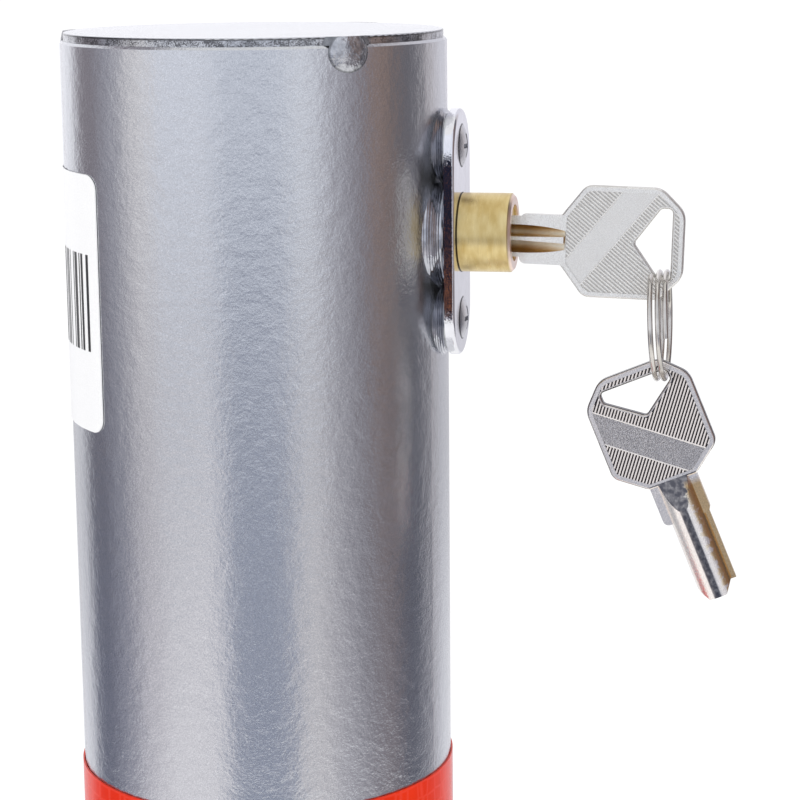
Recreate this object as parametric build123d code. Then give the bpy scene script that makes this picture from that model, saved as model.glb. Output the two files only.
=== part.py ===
from build123d import *

import os
from math import acos, atan, cos, degrees, radians, sin, sqrt, tan

# Parking bollard that unlocks at the top, lifts along a bar and folds down on its ground plate.
# Origin: centre of the ground plate's underside. +Z up, +X the way the lock faces.
# Millimetres throughout.

# Running and seating gaps
SHAFT_GAP = 0.05
SLIDE_GAP = 0.3
SEAT_GAP = 0.02
WELD_GAP = 0.01
SKIN_GAP = 0.05

# Overall height and tube
TOTAL_HEIGHT = 750.0
TUBE_R = 38.0
TUBE_WALL = 2.0
TUBE_TOP_CHAMFER = 0.5
CAP_INSET = 0.74
CAP_THICKNESS = 1.6
CAP_EDGE_R = 0.3

# Tack welds at the cap
BEAD_DIAMETER = 7.6
BEAD_PROUD = 1.0
BEAD_AZIMUTHS = (41.2, -87.0, 157.0)
BEAD_BELOW_TOP = 2.9

# Reflective band and sticker
BAND_TOP_BELOW_CAP = 148.0
BAND_HEIGHT = 50.0
BAND_THICKNESS = 0.35
LABEL_TOP_BELOW_CAP = 26.0
LABEL_HEIGHT = 50.0
LABEL_WIDTH = 38.0
LABEL_THICKNESS = 0.2
LABEL_CORNER_R = 3.0
LABEL_AZIMUTH = -69.0

# Ground plate
PLATE_SIDE = 150.0
PLATE_THICKNESS = 6.0
PLATE_CORNER_R = 12.0
PLATE_EDGE_CHAMFER = 0.8
ANCHOR_SPACING = 114.0
ANCHOR_HOLE_R = 6.5

# Hinge
PIVOT_HEIGHT = 50.0
EAR_HALF_WIDTH = 14.0
EAR_THICKNESS = 6.0
EAR_WELD = 4.0
HINGE_BOLT_R = 5.0
HINGE_WASHER_R = 10.0
HINGE_WASHER_THICKNESS = 2.0
HINGE_HEX = 16.0
HINGE_HEAD_HEIGHT = 6.4
HINGE_NUT_HEIGHT = 8.0
HINGE_THREAD_PAST_NUT = 2.0
HINGE_BOLT_CHAMFER = 0.75

# Core bar and what it carries
BAR_WIDTH = 40.0
BAR_THICKNESS = 8.0
BAR_TOP_BELOW_CAP = 20.0
BAR_TOP_CORNER_R = 8.0
GUIDE_THICKNESS = 10.0
GUIDE_CHAMFER = 1.0
GUIDE_BELOW_LOCK = 55.0
GUIDE_PIN_R = 2.0
GUIDE_PIN_LENGTH = 22.0

# Lift travel, its stop and the disc in the tube that slides on the bar
LIFT_TRAVEL = 65.0
STOP_PIN_R = 3.0
STOP_PIN_LENGTH = 24.0
FOOT_DISC_THICKNESS = 5.0
FOOT_DISC_ABOVE_EARS = 11.0

# Lock, measured from its axis
LOCK_BELOW_CAP = 39.4
LOCK_PLATE_STAND_OFF = 1.35
LOCK_PLATE_HEIGHT = 48.5
LOCK_PLATE_WIDTH = 20.3
LOCK_PLATE_THICKNESS = 2.0
LOCK_PLATE_EDGE_R = 0.7
LOCK_SCREW_OFFSET = 17.0
BARREL_R = 9.2
BARREL_BACK = 7.0
BACK_PLATE_THICKNESS = 2.0
BARREL_LINER_WALL = 0.9
CYLINDER_R = 7.75
CYLINDER_GAP = 0.1
CYLINDER_CHAMFER = 0.6
CYLINDER_TRAVEL = 10.4
CYLINDER_LENGTH = 27.4
CYLINDER_COLLAR_LENGTH = 2.0
CYLINDER_COLLAR_GAP = 0.15
CYLINDER_FLOOR = 4.15
LOCK_BOLT_R = 4.0
LOCK_BOLT_CLEAR_OF_BAR = 1.5
LOCK_BOLT_STUD_R = 2.0
LOCK_BOLT_CHAMFER = 1.0
LOCK_BOLT_HOLE_PLAY = 1.0
SPRING_WIRE = 0.9
SPRING_R = 5.3
SPRING_TURNS = 5

# Collar, bosses, washers and screws that carry the lock on the tube
COLLAR_R = 9.95
COLLAR_FOOT_R = 12.0
BOSS_R = 6.9
BOSS_FOOT_R = 9.0
BOSS_PROUD = 0.55
LOCK_SEAT_DEPTH = 4.5
FOOT_RISE = 2.2
SCREW_R = 2.0
SCREW_HEAD_R = 4.3
SCREW_HEAD_DOME = 1.1
SCREW_LENGTH = 8.5
SCREW_SLOT_WIDTH = 0.9
SCREW_SLOT_LENGTH = 4.6
SCREW_SLOT_DEPTH = 1.2
WASHER_R = 6.2

# Plug and its pins
PLUG_R = 5.5
PLUG_RECESS = 0.7
PLUG_END_GAP = 0.5
PLUG_GROOVE_DEPTH = 1.1
PLUG_GROOVE_WIDTH = 2.4
PLUG_GROOVE_FROM_END = 1.0
RETAINER_R = 0.9
RETAINER_LENGTH = 8.0
TUMBLER_COUNT = 4
TUMBLER_PITCH = 2.6
TUMBLER_FIRST_FROM_FACE = 4.2
TUMBLER_R = 0.8
TUMBLER_SIDE_OFFSET = 1.4
DRIVER_LENGTH = 0.7
DRIVER_SPRING_LENGTH = 0.85
DRIVER_SPRING_WIRE = 0.2
DRIVER_SPRING_TURNS = 2

# Key, in its own frame: X to the tip, Y across the bow, Z out of its front
KEY_THICKNESS = 2.0
KEY_BOW_LENGTH = 23.9
KEY_BOW_HALF = 10.9
KEY_BOW_FLARE = 4.6
KEY_BOW_SHOULDER = 19.2
KEY_BOW_END_HALF = 6.3
KEY_BOW_CORNER_R = 2.5
KEY_BOW_END_CORNER_R = 4.0
KEY_EDGE_CHAMFER = 0.3
KEY_NECK_HALF = 4.9
KEY_RIM = 1.05
KEY_RIM_HEIGHT = 0.25
KEY_HOLE_APEX = 14.2
KEY_HOLE_WAIST = 19.3
KEY_HOLE_END = 21.5
KEY_HOLE_HALF = 7.0
KEY_HOLE_CORNER_R = 0.9
KEY_HOLE_BORDER = 0.45
KEY_TAB_LENGTH = 8.1
KEY_TAB_THICKNESS = 1.5
KEY_TAB_CORNER_R = 1.2
KEY_BLADE_LENGTH = 24.6
KEY_BLADE_R = 3.6
KEY_TROUGH_R = 2.75
KEY_TROUGH_RISE = 2.0
KEY_RIDGE = 0.7
KEY_RIDGE_AT_BOW = 1.3
KEY_FACET_LENGTH = 5.8
KEY_FIN_LENGTH = 22.5
KEY_FIN_HALF = 4.4
KEY_FIN_THICKNESS = 0.7
KEY_TIP_CUT = 2.6
KEYWAY_GAP = 0.08

# Key in the lock: its neck in front of the cylinder, its drop under the axis and its droop
KEY_NECK_OUT = 9.25
KEY_DROP = 1.14
KEY_DROOP = 1.8

# Split ring and the spare key that hangs from it
RING_R = 10.4
RING_WIRE = 1.05
RING_PITCH = 1.45
RING_TURNS = 2.22
RING_END_RISE = 75.0
RING_SEAT_ALONG = 20.0
RING_SEAT_ACROSS = 5.45
SPARE_SEAT_ALONG = 20.0
SPARE_SEAT_ACROSS = 5.4
SPARE_LEAN = 22.3

# Levels and places that follow from the sizes above
TUBE_BORE_R = TUBE_R - TUBE_WALL
TUBE_FOOT = PLATE_THICKNESS + SLIDE_GAP
TUBE_TOP = TOTAL_HEIGHT - CAP_THICKNESS
CAP_R = TUBE_R - CAP_INSET
LOCK_Z = TOTAL_HEIGHT - LOCK_BELOW_CAP
PLATE_BACK_X = TUBE_R + LOCK_PLATE_STAND_OFF
PLATE_FACE_X = PLATE_BACK_X + LOCK_PLATE_THICKNESS
CYLINDER_FACE_X = PLATE_FACE_X + CYLINDER_TRAVEL
CYLINDER_BACK_X = CYLINDER_FACE_X - CYLINDER_LENGTH
CYLINDER_STOP_X = CYLINDER_BACK_X + CYLINDER_COLLAR_LENGTH
BARREL_BORE_R = BARREL_R - BARREL_LINER_WALL
BARREL_FLOOR_X = BARREL_BACK + BACK_PLATE_THICKNESS
PLUG_FACE_X = CYLINDER_FACE_X - PLUG_RECESS
PLUG_BACK_X = CYLINDER_BACK_X + CYLINDER_FLOOR + PLUG_END_GAP
PLUG_BORE_R = PLUG_R + SHAFT_GAP
BAR_TOP = TOTAL_HEIGHT - BAR_TOP_BELOW_CAP
EAR_X = BAR_THICKNESS / 2 + SLIDE_GAP
EAR_TOP = PIVOT_HEIGHT + EAR_HALF_WIDTH
FOOT_DISC_Z = EAR_TOP + FOOT_DISC_ABOVE_EARS
STOP_PIN_Z = FOOT_DISC_Z + FOOT_DISC_THICKNESS + LIFT_TRAVEL + STOP_PIN_R + SLIDE_GAP
GUIDE_Z = LOCK_Z - GUIDE_BELOW_LOCK
KEY_HALF = KEY_THICKNESS / 2
KEY_MIDDLE_Y = -(KEY_BLADE_R - KEY_THICKNESS) / 2
KEY_NECK = (CYLINDER_FACE_X + KEY_NECK_OUT, KEY_MIDDLE_Y, LOCK_Z - KEY_DROP)
KEY_TO_TIP = (-cos(radians(KEY_DROOP)), 0.0, sin(radians(KEY_DROOP)))

FROM_BASE = (Align.CENTER, Align.CENTER, Align.MIN)
FROM_START = (Align.MIN, Align.CENTER, Align.CENTER)


def rod_x(radius, x_from, x_to, y=0.0, z=0.0):
    """Round rod along X."""
    return Pos(x_from, y, z) * Rot(0, 90, 0) * Cylinder(radius, x_to - x_from, align=FROM_BASE)


def cone_x(r_from, r_to, x_from, x_to, z=0.0):
    """Cone along X, from one radius to another."""
    return Pos(x_from, 0, z) * Rot(0, 90, 0) * Cone(r_from, r_to, x_to - x_from, align=FROM_BASE)


def ring_x(radius, bore, x_from, x_to, z=0.0):
    """Flat ring or tube along X."""
    return rod_x(radius, x_from, x_to, z=z) - rod_x(bore, x_from, x_to, z=z)


def upright(radius, z_from, z_to):
    """Round bar on the post's axis."""
    return Pos(0, 0, z_from) * Cylinder(radius, z_to - z_from, align=FROM_BASE)


def slab_x(x_from, x_to, width, height, z):
    """Block along X, centred on the lock plane, with its middle at height z."""
    return Pos(x_from, 0, z) * Box(x_to - x_from, width, height, align=FROM_START)


def outward(azimuth):
    """Unit direction out of the post. Azimuth 0 faces -Y and 90 faces +X."""
    return Vector(sin(radians(azimuth)), -cos(radians(azimuth)), 0)


def hex_x(x_from, length):
    """Hexagon with chamfered corners, along X on the hinge axis."""
    corner_r = HINGE_HEX / 2 / cos(radians(30))
    prism = extrude(Plane.YZ.offset(x_from) * Pos(0, PIVOT_HEIGHT) * RegularPolygon(corner_r, 6), length)
    blank = rod_x(corner_r, x_from, x_from + length, z=PIVOT_HEIGHT)
    return prism & chamfer(blank.edges().filter_by(GeomType.CIRCLE), (corner_r - HINGE_HEX / 2) * 0.9)


# Ground plate and hinge

def base_plate():
    """Square plate with four anchor holes."""
    blank = extrude(RectangleRounded(PLATE_SIDE, PLATE_SIDE, PLATE_CORNER_R), PLATE_THICKNESS)
    blank = chamfer(blank.faces().sort_by(Axis.Z)[-1].edges(), PLATE_EDGE_CHAMFER)
    for spot in GridLocations(ANCHOR_SPACING, ANCHOR_SPACING, 2, 2):
        blank -= spot * Cylinder(ANCHOR_HOLE_R, PLATE_THICKNESS, align=FROM_BASE)
    return blank


def hinge_ear(x_from):
    """Upright ear with a round top and the hinge hole."""
    rise = PIVOT_HEIGHT - PLATE_THICKNESS
    outline = Pos(0, PLATE_THICKNESS + rise / 2) * Rectangle(2 * EAR_HALF_WIDTH, rise)
    outline += Pos(0, PIVOT_HEIGHT) * Circle(EAR_HALF_WIDTH)
    outline -= Pos(0, PIVOT_HEIGHT) * Circle(HINGE_BOLT_R + SHAFT_GAP)
    return extrude(Plane.YZ.offset(x_from) * outline, EAR_THICKNESS)


def ear_welds():
    """Fillet welds at the outer foot and the two ends of both ears."""
    fillet_outline = Polygon((0, 0), (EAR_WELD, 0), (0, EAR_WELD), align=None)
    length = 2 * EAR_HALF_WIDTH
    long_bead = extrude(Plane.XZ.offset(-EAR_HALF_WIDTH) * fillet_outline, length)
    end_bead = extrude(Plane.YZ * fillet_outline, EAR_THICKNESS)
    outer_x = EAR_X + EAR_THICKNESS
    beads = [Pos(outer_x, 0, PLATE_THICKNESS) * long_bead, Pos(EAR_X, EAR_HALF_WIDTH, PLATE_THICKNESS) * end_bead]
    beads.append(mirror(beads[1], about=Plane.XZ))
    beads += [mirror(bead, about=Plane.YZ) for bead in beads]
    return Compound(beads)


def hinge_bolt():
    """Hexagon bolt along X through both ears and the bar."""
    head_x = -(EAR_X + EAR_THICKNESS + HINGE_WASHER_THICKNESS)
    end_x = -head_x + HINGE_NUT_HEIGHT + HINGE_THREAD_PAST_NUT
    shank = rod_x(HINGE_BOLT_R, head_x, end_x, z=PIVOT_HEIGHT)
    shank = chamfer(shank.edges().filter_by(GeomType.CIRCLE).sort_by(Axis.X)[-1], HINGE_BOLT_CHAMFER)
    return shank + hex_x(head_x - HINGE_HEAD_HEIGHT, HINGE_HEAD_HEIGHT)


def hinge_nut():
    """Nut on the bolt's far end."""
    near_x = EAR_X + EAR_THICKNESS + HINGE_WASHER_THICKNESS
    bore = rod_x(HINGE_BOLT_R + SEAT_GAP, near_x, near_x + HINGE_NUT_HEIGHT, z=PIVOT_HEIGHT)
    return hex_x(near_x, HINGE_NUT_HEIGHT) - bore


def hinge_washers():
    """One washer outside each ear."""
    near_x = EAR_X + EAR_THICKNESS
    washer = ring_x(HINGE_WASHER_R, HINGE_BOLT_R + SHAFT_GAP, near_x, near_x + HINGE_WASHER_THICKNESS,
                    z=PIVOT_HEIGHT)
    return Compound([washer, mirror(washer, about=Plane.YZ)])


# Core bar

def guide_pin_levels():
    """Heights of the two pins that hold the guide disc between them."""
    reach = GUIDE_THICKNESS / 2 + GUIDE_PIN_R
    return [GUIDE_Z - reach, GUIDE_Z + reach]


def core_bar():
    """Flat bar on the hinge bolt, with a hole at the top for the lock bolt."""
    half = BAR_WIDTH / 2
    middle = (PIVOT_HEIGHT + BAR_TOP) / 2
    outline = Pos(0, middle) * Rectangle(BAR_WIDTH, BAR_TOP - PIVOT_HEIGHT)
    outline = fillet(outline.vertices().group_by(Axis.Y)[-1], BAR_TOP_CORNER_R)
    outline += Pos(0, PIVOT_HEIGHT) * Circle(half)
    outline -= Pos(0, PIVOT_HEIGHT) * Circle(HINGE_BOLT_R + SHAFT_GAP)
    outline -= Pos(0, LOCK_Z) * Circle(LOCK_BOLT_R + LOCK_BOLT_HOLE_PLAY)
    outline -= Pos(0, STOP_PIN_Z) * Circle(STOP_PIN_R + SEAT_GAP)
    for level in guide_pin_levels():
        outline -= Pos(0, level) * Circle(GUIDE_PIN_R + SEAT_GAP)
    return extrude(Plane.YZ.offset(-BAR_THICKNESS / 2) * outline, BAR_THICKNESS)


def core_guide():
    """Plastic disc near the top of the bar that keeps the tube central."""
    disc = upright(TUBE_BORE_R - SLIDE_GAP, GUIDE_Z - GUIDE_THICKNESS / 2, GUIDE_Z + GUIDE_THICKNESS / 2)
    slot = Box(BAR_THICKNESS + 2 * SEAT_GAP, BAR_WIDTH + 2 * SEAT_GAP, GUIDE_THICKNESS)
    return chamfer(disc.edges(), GUIDE_CHAMFER) - Pos(0, 0, GUIDE_Z) * slot


def guide_pins():
    """Pins above and below the guide disc."""
    half = GUIDE_PIN_LENGTH / 2
    return Compound([rod_x(GUIDE_PIN_R, -half, half, z=level) for level in guide_pin_levels()])


def lift_stop_pin():
    """Cross pin that stops the tube at the top of its lift."""
    half = STOP_PIN_LENGTH / 2
    return rod_x(STOP_PIN_R, -half, half, z=STOP_PIN_Z)


# Tube and cap

def lock_seats():
    """Heights and radii of the collar and the two bosses."""
    return [(LOCK_Z, COLLAR_R), (LOCK_Z + LOCK_SCREW_OFFSET, BOSS_R), (LOCK_Z - LOCK_SCREW_OFFSET, BOSS_R)]


def post_tube():
    """Tube with the three holes that its lock seats fill."""
    tube = upright(TUBE_R, TUBE_FOOT, TUBE_TOP)
    tube = chamfer(tube.faces().sort_by(Axis.Z)[-1].edges(), TUBE_TOP_CHAMFER)
    tube -= upright(TUBE_BORE_R, TUBE_FOOT, TUBE_TOP)
    for level, radius in lock_seats():
        tube -= rod_x(radius, 0, TUBE_R + 1, z=level)
    return tube


def top_cap():
    """Flat lid on the tube's end."""
    disc = upright(CAP_R, TUBE_TOP, TOTAL_HEIGHT)
    return fillet(disc.faces().sort_by(Axis.Z)[-1].edges(), CAP_EDGE_R)


def cap_weld_beads():
    """Domed tack welds over the joint of lid and tube."""
    half = BEAD_DIAMETER / 2
    ball_r = (half**2 + BEAD_PROUD**2) / (2 * BEAD_PROUD)
    steel = upright(TUBE_R, TUBE_TOP - 2 * ball_r, TUBE_TOP) + upright(CAP_R, TUBE_TOP, TOTAL_HEIGHT)
    above = upright(2 * TUBE_R, TOTAL_HEIGHT, TOTAL_HEIGHT + 2 * ball_r)
    beads = []
    for azimuth in BEAD_AZIMUTHS:
        centre = outward(azimuth) * (TUBE_R + BEAD_PROUD - ball_r)
        ball = Pos(centre.X, centre.Y, TOTAL_HEIGHT - BEAD_BELOW_TOP) * Sphere(ball_r)
        beads += (ball - steel - above).solids()
    return Compound(beads)


def tube_foot_disc():
    """Disc welded inside the tube, with a slot that slides on the bar."""
    disc = upright(TUBE_BORE_R - WELD_GAP, FOOT_DISC_Z, FOOT_DISC_Z + FOOT_DISC_THICKNESS)
    slot = Box(BAR_THICKNESS + 2 * SLIDE_GAP, BAR_WIDTH + 2 * SLIDE_GAP, FOOT_DISC_THICKNESS, align=FROM_BASE)
    return disc - Pos(0, 0, FOOT_DISC_Z) * slot


def skin(thickness, top, height):
    """Thin sleeve on the tube, below a given height."""
    inner_r = TUBE_R + SKIN_GAP
    return upright(inner_r + thickness, top - height, top) - upright(inner_r, top - height, top)


def reflective_band():
    """Thin band round the tube."""
    return skin(BAND_THICKNESS, TOTAL_HEIGHT - BAND_TOP_BELOW_CAP, BAND_HEIGHT)


def label():
    """Sticker with rounded corners, wrapped on the tube."""
    top = TOTAL_HEIGHT - LABEL_TOP_BELOW_CAP
    out = outward(LABEL_AZIMUTH)
    face = Plane(origin=(0, 0, top - LABEL_HEIGHT / 2), x_dir=Vector(0, 0, 1).cross(out), z_dir=out)
    outline = RectangleRounded(LABEL_WIDTH, LABEL_HEIGHT, LABEL_CORNER_R)
    return skin(LABEL_THICKNESS, top, LABEL_HEIGHT) & extrude(face * outline, 2 * TUBE_R)


# Lock and its seats

def flared_foot(level, radius, foot_r, face_x):
    """Cone of weld and paint round a seat, outside the tube only."""
    start_x = sqrt(TUBE_R**2 - foot_r**2)
    cone = cone_x(foot_r, radius, start_x, min(face_x, start_x + FOOT_RISE), z=level)
    return cone & slab_x(start_x, face_x, 2 * foot_r, 2 * radius, level)


def lock_seat(level, radius, foot_r, bore, face_x):
    """Round seat in the tube's wall, with its flared foot and its bore."""
    wall = upright(TUBE_R, level - radius - 1, level + radius + 1)
    seat = rod_x(radius, TUBE_BORE_R - LOCK_SEAT_DEPTH + TUBE_WALL, face_x, z=level)
    foot = flared_foot(level, radius, foot_r, face_x) - wall
    return seat + foot - rod_x(bore, 0, face_x, z=level)


def lock_collar():
    """Raised ring round the lock hole that the lock plate bears on."""
    return lock_seat(LOCK_Z, COLLAR_R, COLLAR_FOOT_R, BARREL_R + SHAFT_GAP, PLATE_BACK_X)


def lock_boss(offset):
    """Threaded boss for one lock screw."""
    return lock_seat(LOCK_Z + offset, BOSS_R, BOSS_FOOT_R, SCREW_R + SEAT_GAP, TUBE_R + BOSS_PROUD)


def lock_washers():
    """Thin washers between the bosses and the lock plate."""
    near_x = TUBE_R + BOSS_PROUD
    return Compound([ring_x(WASHER_R, SCREW_R + SHAFT_GAP, near_x, PLATE_BACK_X, z=LOCK_Z + offset)
                     for offset in (LOCK_SCREW_OFFSET, -LOCK_SCREW_OFFSET)])


def lock_housing():
    """Plate with round ends and the barrel behind it, one casting."""
    outline = SlotOverall(LOCK_PLATE_HEIGHT, LOCK_PLATE_WIDTH, rotation=90)
    plate = extrude(Plane.YZ.offset(PLATE_BACK_X) * Pos(0, LOCK_Z) * outline, LOCK_PLATE_THICKNESS)
    plate = fillet(plate.faces().sort_by(Axis.X)[-1].edges(), LOCK_PLATE_EDGE_R)
    body = plate + rod_x(BARREL_R, BARREL_BACK, PLATE_BACK_X, z=LOCK_Z)
    body -= rod_x(CYLINDER_R + CYLINDER_GAP, BARREL_BACK, PLATE_FACE_X, z=LOCK_Z)
    body -= rod_x(BARREL_BORE_R, BARREL_BACK, CYLINDER_STOP_X, z=LOCK_Z)
    for offset in (LOCK_SCREW_OFFSET, -LOCK_SCREW_OFFSET):
        body -= rod_x(SCREW_R + SHAFT_GAP, PLATE_BACK_X, PLATE_FACE_X, z=LOCK_Z + offset)
        body -= screw_cone(LOCK_Z + offset)
    return body


def screw_cone(level):
    """Countersunk part of a screw head, as deep as the lock plate."""
    return cone_x(SCREW_R + SHAFT_GAP, SCREW_HEAD_R, PLATE_BACK_X, PLATE_FACE_X, z=level)


def lock_screw(offset):
    """Raised countersunk screw with a cross recess."""
    level = LOCK_Z + offset
    crown_x = PLATE_FACE_X + SCREW_HEAD_DOME
    ball_r = (SCREW_HEAD_R**2 + SCREW_HEAD_DOME**2) / (2 * SCREW_HEAD_DOME)
    crown = CenterArc((crown_x - ball_r, 0), ball_r, 0, degrees(acos(1 - SCREW_HEAD_DOME / ball_r)))
    side = Polyline(crown @ 1, (PLATE_BACK_X, SCREW_R), (PLATE_BACK_X - SCREW_LENGTH, SCREW_R),
                    (PLATE_BACK_X - SCREW_LENGTH, 0), crown @ 0)
    screw = Pos(0, 0, level) * revolve(make_face([*crown.edges(), *side.edges()]), Axis.X)
    slot_x = crown_x - SCREW_SLOT_DEPTH
    for width, height in ((SCREW_SLOT_WIDTH, SCREW_SLOT_LENGTH), (SCREW_SLOT_LENGTH, SCREW_SLOT_WIDTH)):
        screw -= slab_x(slot_x, crown_x, width, height, level)
    return screw


def lock_back_plate():
    """Disc in the barrel's back end that guides the bolt."""
    return ring_x(BARREL_BORE_R - SEAT_GAP, LOCK_BOLT_R + CYLINDER_GAP, BARREL_BACK, BARREL_FLOOR_X, z=LOCK_Z)


def lock_spring():
    """Coil that pushes the cylinder out."""
    length = CYLINDER_BACK_X - BARREL_FLOOR_X - SPRING_WIRE
    coil = Helix(pitch=length / SPRING_TURNS, height=length, radius=SPRING_R)
    start = Plane(origin=coil @ 0, z_dir=coil % 0)
    wire = sweep(start * Circle(SPRING_WIRE / 2), path=coil, is_frenet=True)
    return Pos(BARREL_FLOOR_X + SPRING_WIRE / 2, 0, LOCK_Z) * Rot(0, 90, 0) * wire


# Cylinder that slides in the housing

def tumbler_places():
    """Distances along X of the tumbler pins."""
    return [PLUG_FACE_X - TUMBLER_FIRST_FROM_FACE - index * TUMBLER_PITCH for index in range(TUMBLER_COUNT)]


def tumbler_rod(radius, x, rise_from, rise_to):
    """Short upright rod over the key's edge, at heights from the lock axis."""
    place = Pos(x, -TUMBLER_SIDE_OFFSET, LOCK_Z + rise_from)
    return place * Cylinder(radius, rise_to - rise_from, align=FROM_BASE)


def driver_base():
    """Height of the driver pins' lower ends over the lock axis, clear of the plug."""
    return PLUG_BORE_R + SHAFT_GAP


def retainer_height():
    """Height of the retaining pin over the lock axis, where it bites into the plug's groove."""
    return PLUG_R - PLUG_GROOVE_DEPTH + RETAINER_R + CYLINDER_GAP


def retainer_x():
    """Middle of the plug's groove."""
    return PLUG_BACK_X + PLUG_GROOVE_FROM_END + PLUG_GROOVE_WIDTH / 2


def retainer_rod(radius):
    """Cross rod over the plug's groove."""
    place = Pos(retainer_x(), 0, LOCK_Z + retainer_height())
    return place * Rot(90, 0, 0) * Cylinder(radius, RETAINER_LENGTH)


def lock_cylinder():
    """Brass body with a collar at the back that stops it in the barrel."""
    body = rod_x(CYLINDER_R, CYLINDER_BACK_X, CYLINDER_FACE_X, z=LOCK_Z)
    body = chamfer(body.edges().filter_by(GeomType.CIRCLE).sort_by(Axis.X)[-1], CYLINDER_CHAMFER)
    body += rod_x(BARREL_BORE_R - CYLINDER_COLLAR_GAP, CYLINDER_BACK_X, CYLINDER_STOP_X, z=LOCK_Z)
    body -= rod_x(PLUG_BORE_R, CYLINDER_BACK_X + CYLINDER_FLOOR, CYLINDER_FACE_X, z=LOCK_Z)
    body -= rod_x(LOCK_BOLT_STUD_R + SEAT_GAP, CYLINDER_BACK_X, CYLINDER_BACK_X + CYLINDER_FLOOR, z=LOCK_Z)
    body -= retainer_rod(RETAINER_R + SEAT_GAP)
    chamber_top = driver_base() + DRIVER_LENGTH + DRIVER_SPRING_LENGTH
    for x in tumbler_places():
        body -= tumbler_rod(TUMBLER_R + SHAFT_GAP, x, 0, chamber_top)
    return body


def lock_bolt():
    """Rod behind the cylinder that enters the bar's hole when the cylinder is pushed in."""
    tip_x = BAR_THICKNESS / 2 + LOCK_BOLT_CLEAR_OF_BAR
    rod = rod_x(LOCK_BOLT_R, tip_x, CYLINDER_BACK_X, z=LOCK_Z)
    rod = chamfer(rod.edges().filter_by(GeomType.CIRCLE).sort_by(Axis.X)[0], LOCK_BOLT_CHAMFER)
    return rod + rod_x(LOCK_BOLT_STUD_R, CYLINDER_BACK_X, CYLINDER_BACK_X + CYLINDER_FLOOR - SEAT_GAP, z=LOCK_Z)


def driver_pins():
    """Spring-loaded pins in the cylinder's wall."""
    base = driver_base()
    return Compound([tumbler_rod(TUMBLER_R, x, base, base + DRIVER_LENGTH) for x in tumbler_places()])


def driver_springs():
    """Small coils behind the driver pins."""
    length = DRIVER_SPRING_LENGTH - DRIVER_SPRING_WIRE
    coil = Helix(pitch=length / DRIVER_SPRING_TURNS, height=length, radius=TUMBLER_R - DRIVER_SPRING_WIRE)
    wire = sweep(Plane(origin=coil @ 0, z_dir=coil % 0) * Circle(DRIVER_SPRING_WIRE / 2), path=coil, is_frenet=True)
    level = LOCK_Z + driver_base() + DRIVER_LENGTH + DRIVER_SPRING_WIRE / 2
    return Compound([Pos(x, -TUMBLER_SIDE_OFFSET, level) * wire for x in tumbler_places()])


# Plug and key

def key_face():
    """Outline of the bow without its hole."""
    half = [(0, KEY_NECK_HALF), (-KEY_BOW_FLARE, KEY_BOW_HALF), (-KEY_BOW_SHOULDER, KEY_BOW_HALF),
            (-KEY_BOW_LENGTH, KEY_BOW_END_HALF)]
    outline = Polygon(*half, *[(x, -y) for x, y in reversed(half)], align=None)
    outline = fillet(outline.vertices().filter_by_position(Axis.X, -KEY_BOW_LENGTH - 1, -KEY_BOW_SHOULDER + 1),
                     KEY_BOW_END_CORNER_R)
    near = outline.vertices().filter_by_position(Axis.X, -KEY_BOW_FLARE - 1, -KEY_BOW_FLARE / 2)
    return fillet(near, KEY_BOW_CORNER_R)


def key_hole():
    """Five-sided hole near the end of the bow."""
    half = [(-KEY_HOLE_WAIST, KEY_HOLE_HALF), (-KEY_HOLE_END, KEY_HOLE_HALF)]
    outline = Polygon((-KEY_HOLE_APEX, 0), *half, *[(x, -y) for x, y in reversed(half)], align=None)
    return fillet(outline.vertices(), KEY_HOLE_CORNER_R)


def key_bow():
    """Bow with its hole, raised rims round both and chamfered edges."""
    face, hole = key_face(), key_hole()
    plate = extrude(Pos(0, 0, -KEY_HALF) * (face - hole), KEY_THICKNESS)
    plate = chamfer(plate.faces().filter_by(Axis.Z).edges(), KEY_EDGE_CHAMFER)
    field = offset(face, amount=-KEY_RIM) - offset(hole, amount=KEY_HOLE_BORDER)
    plate -= extrude(Pos(0, 0, KEY_HALF - KEY_RIM_HEIGHT) * field, KEY_RIM_HEIGHT)
    return plate - extrude(Pos(0, 0, -KEY_HALF) * field, KEY_RIM_HEIGHT)


def blade_round(radius, open_z, x_from, x_to):
    """Half-round bar along the key, flat side at open_z."""
    bar = rod_x(radius, x_from, x_to, z=open_z)
    return bar & (Pos(x_from, 0, open_z) * Box(x_to - x_from, 2 * radius, radius, align=(Align.MIN, Align.CENTER, Align.MIN)))


def key_trough():
    """Round trough in the back of the blade, running out under the bow."""
    turn = Vector(KEY_TAB_LENGTH, 0, -KEY_HALF)
    run_out = Vector(-KEY_TAB_LENGTH - KEY_RIM / 2, 0, -KEY_TROUGH_RISE)
    slant = Plane(origin=turn, z_dir=run_out).location * Cylinder(KEY_TROUGH_R, run_out.length, align=FROM_BASE)
    straight = rod_x(KEY_TROUGH_R, KEY_TAB_LENGTH, KEY_BLADE_LENGTH, z=-KEY_HALF)
    return straight + slant + Pos(turn) * Sphere(KEY_TROUGH_R)


def key_tip_cuts():
    """Slanted corners at the blade's tip."""
    cut = Polygon((KEY_BLADE_LENGTH, KEY_BLADE_R / 2), (KEY_BLADE_LENGTH, KEY_BLADE_R * 1.5),
                  (KEY_BLADE_LENGTH - KEY_TIP_CUT, KEY_BLADE_R * 1.5), (KEY_BLADE_LENGTH - KEY_TIP_CUT, KEY_BLADE_R),
                  align=None)
    wedge = extrude(Pos(0, 0, -KEY_HALF) * cut, 2 * KEY_BLADE_R)
    return wedge + mirror(wedge, about=Plane.XZ)


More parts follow.
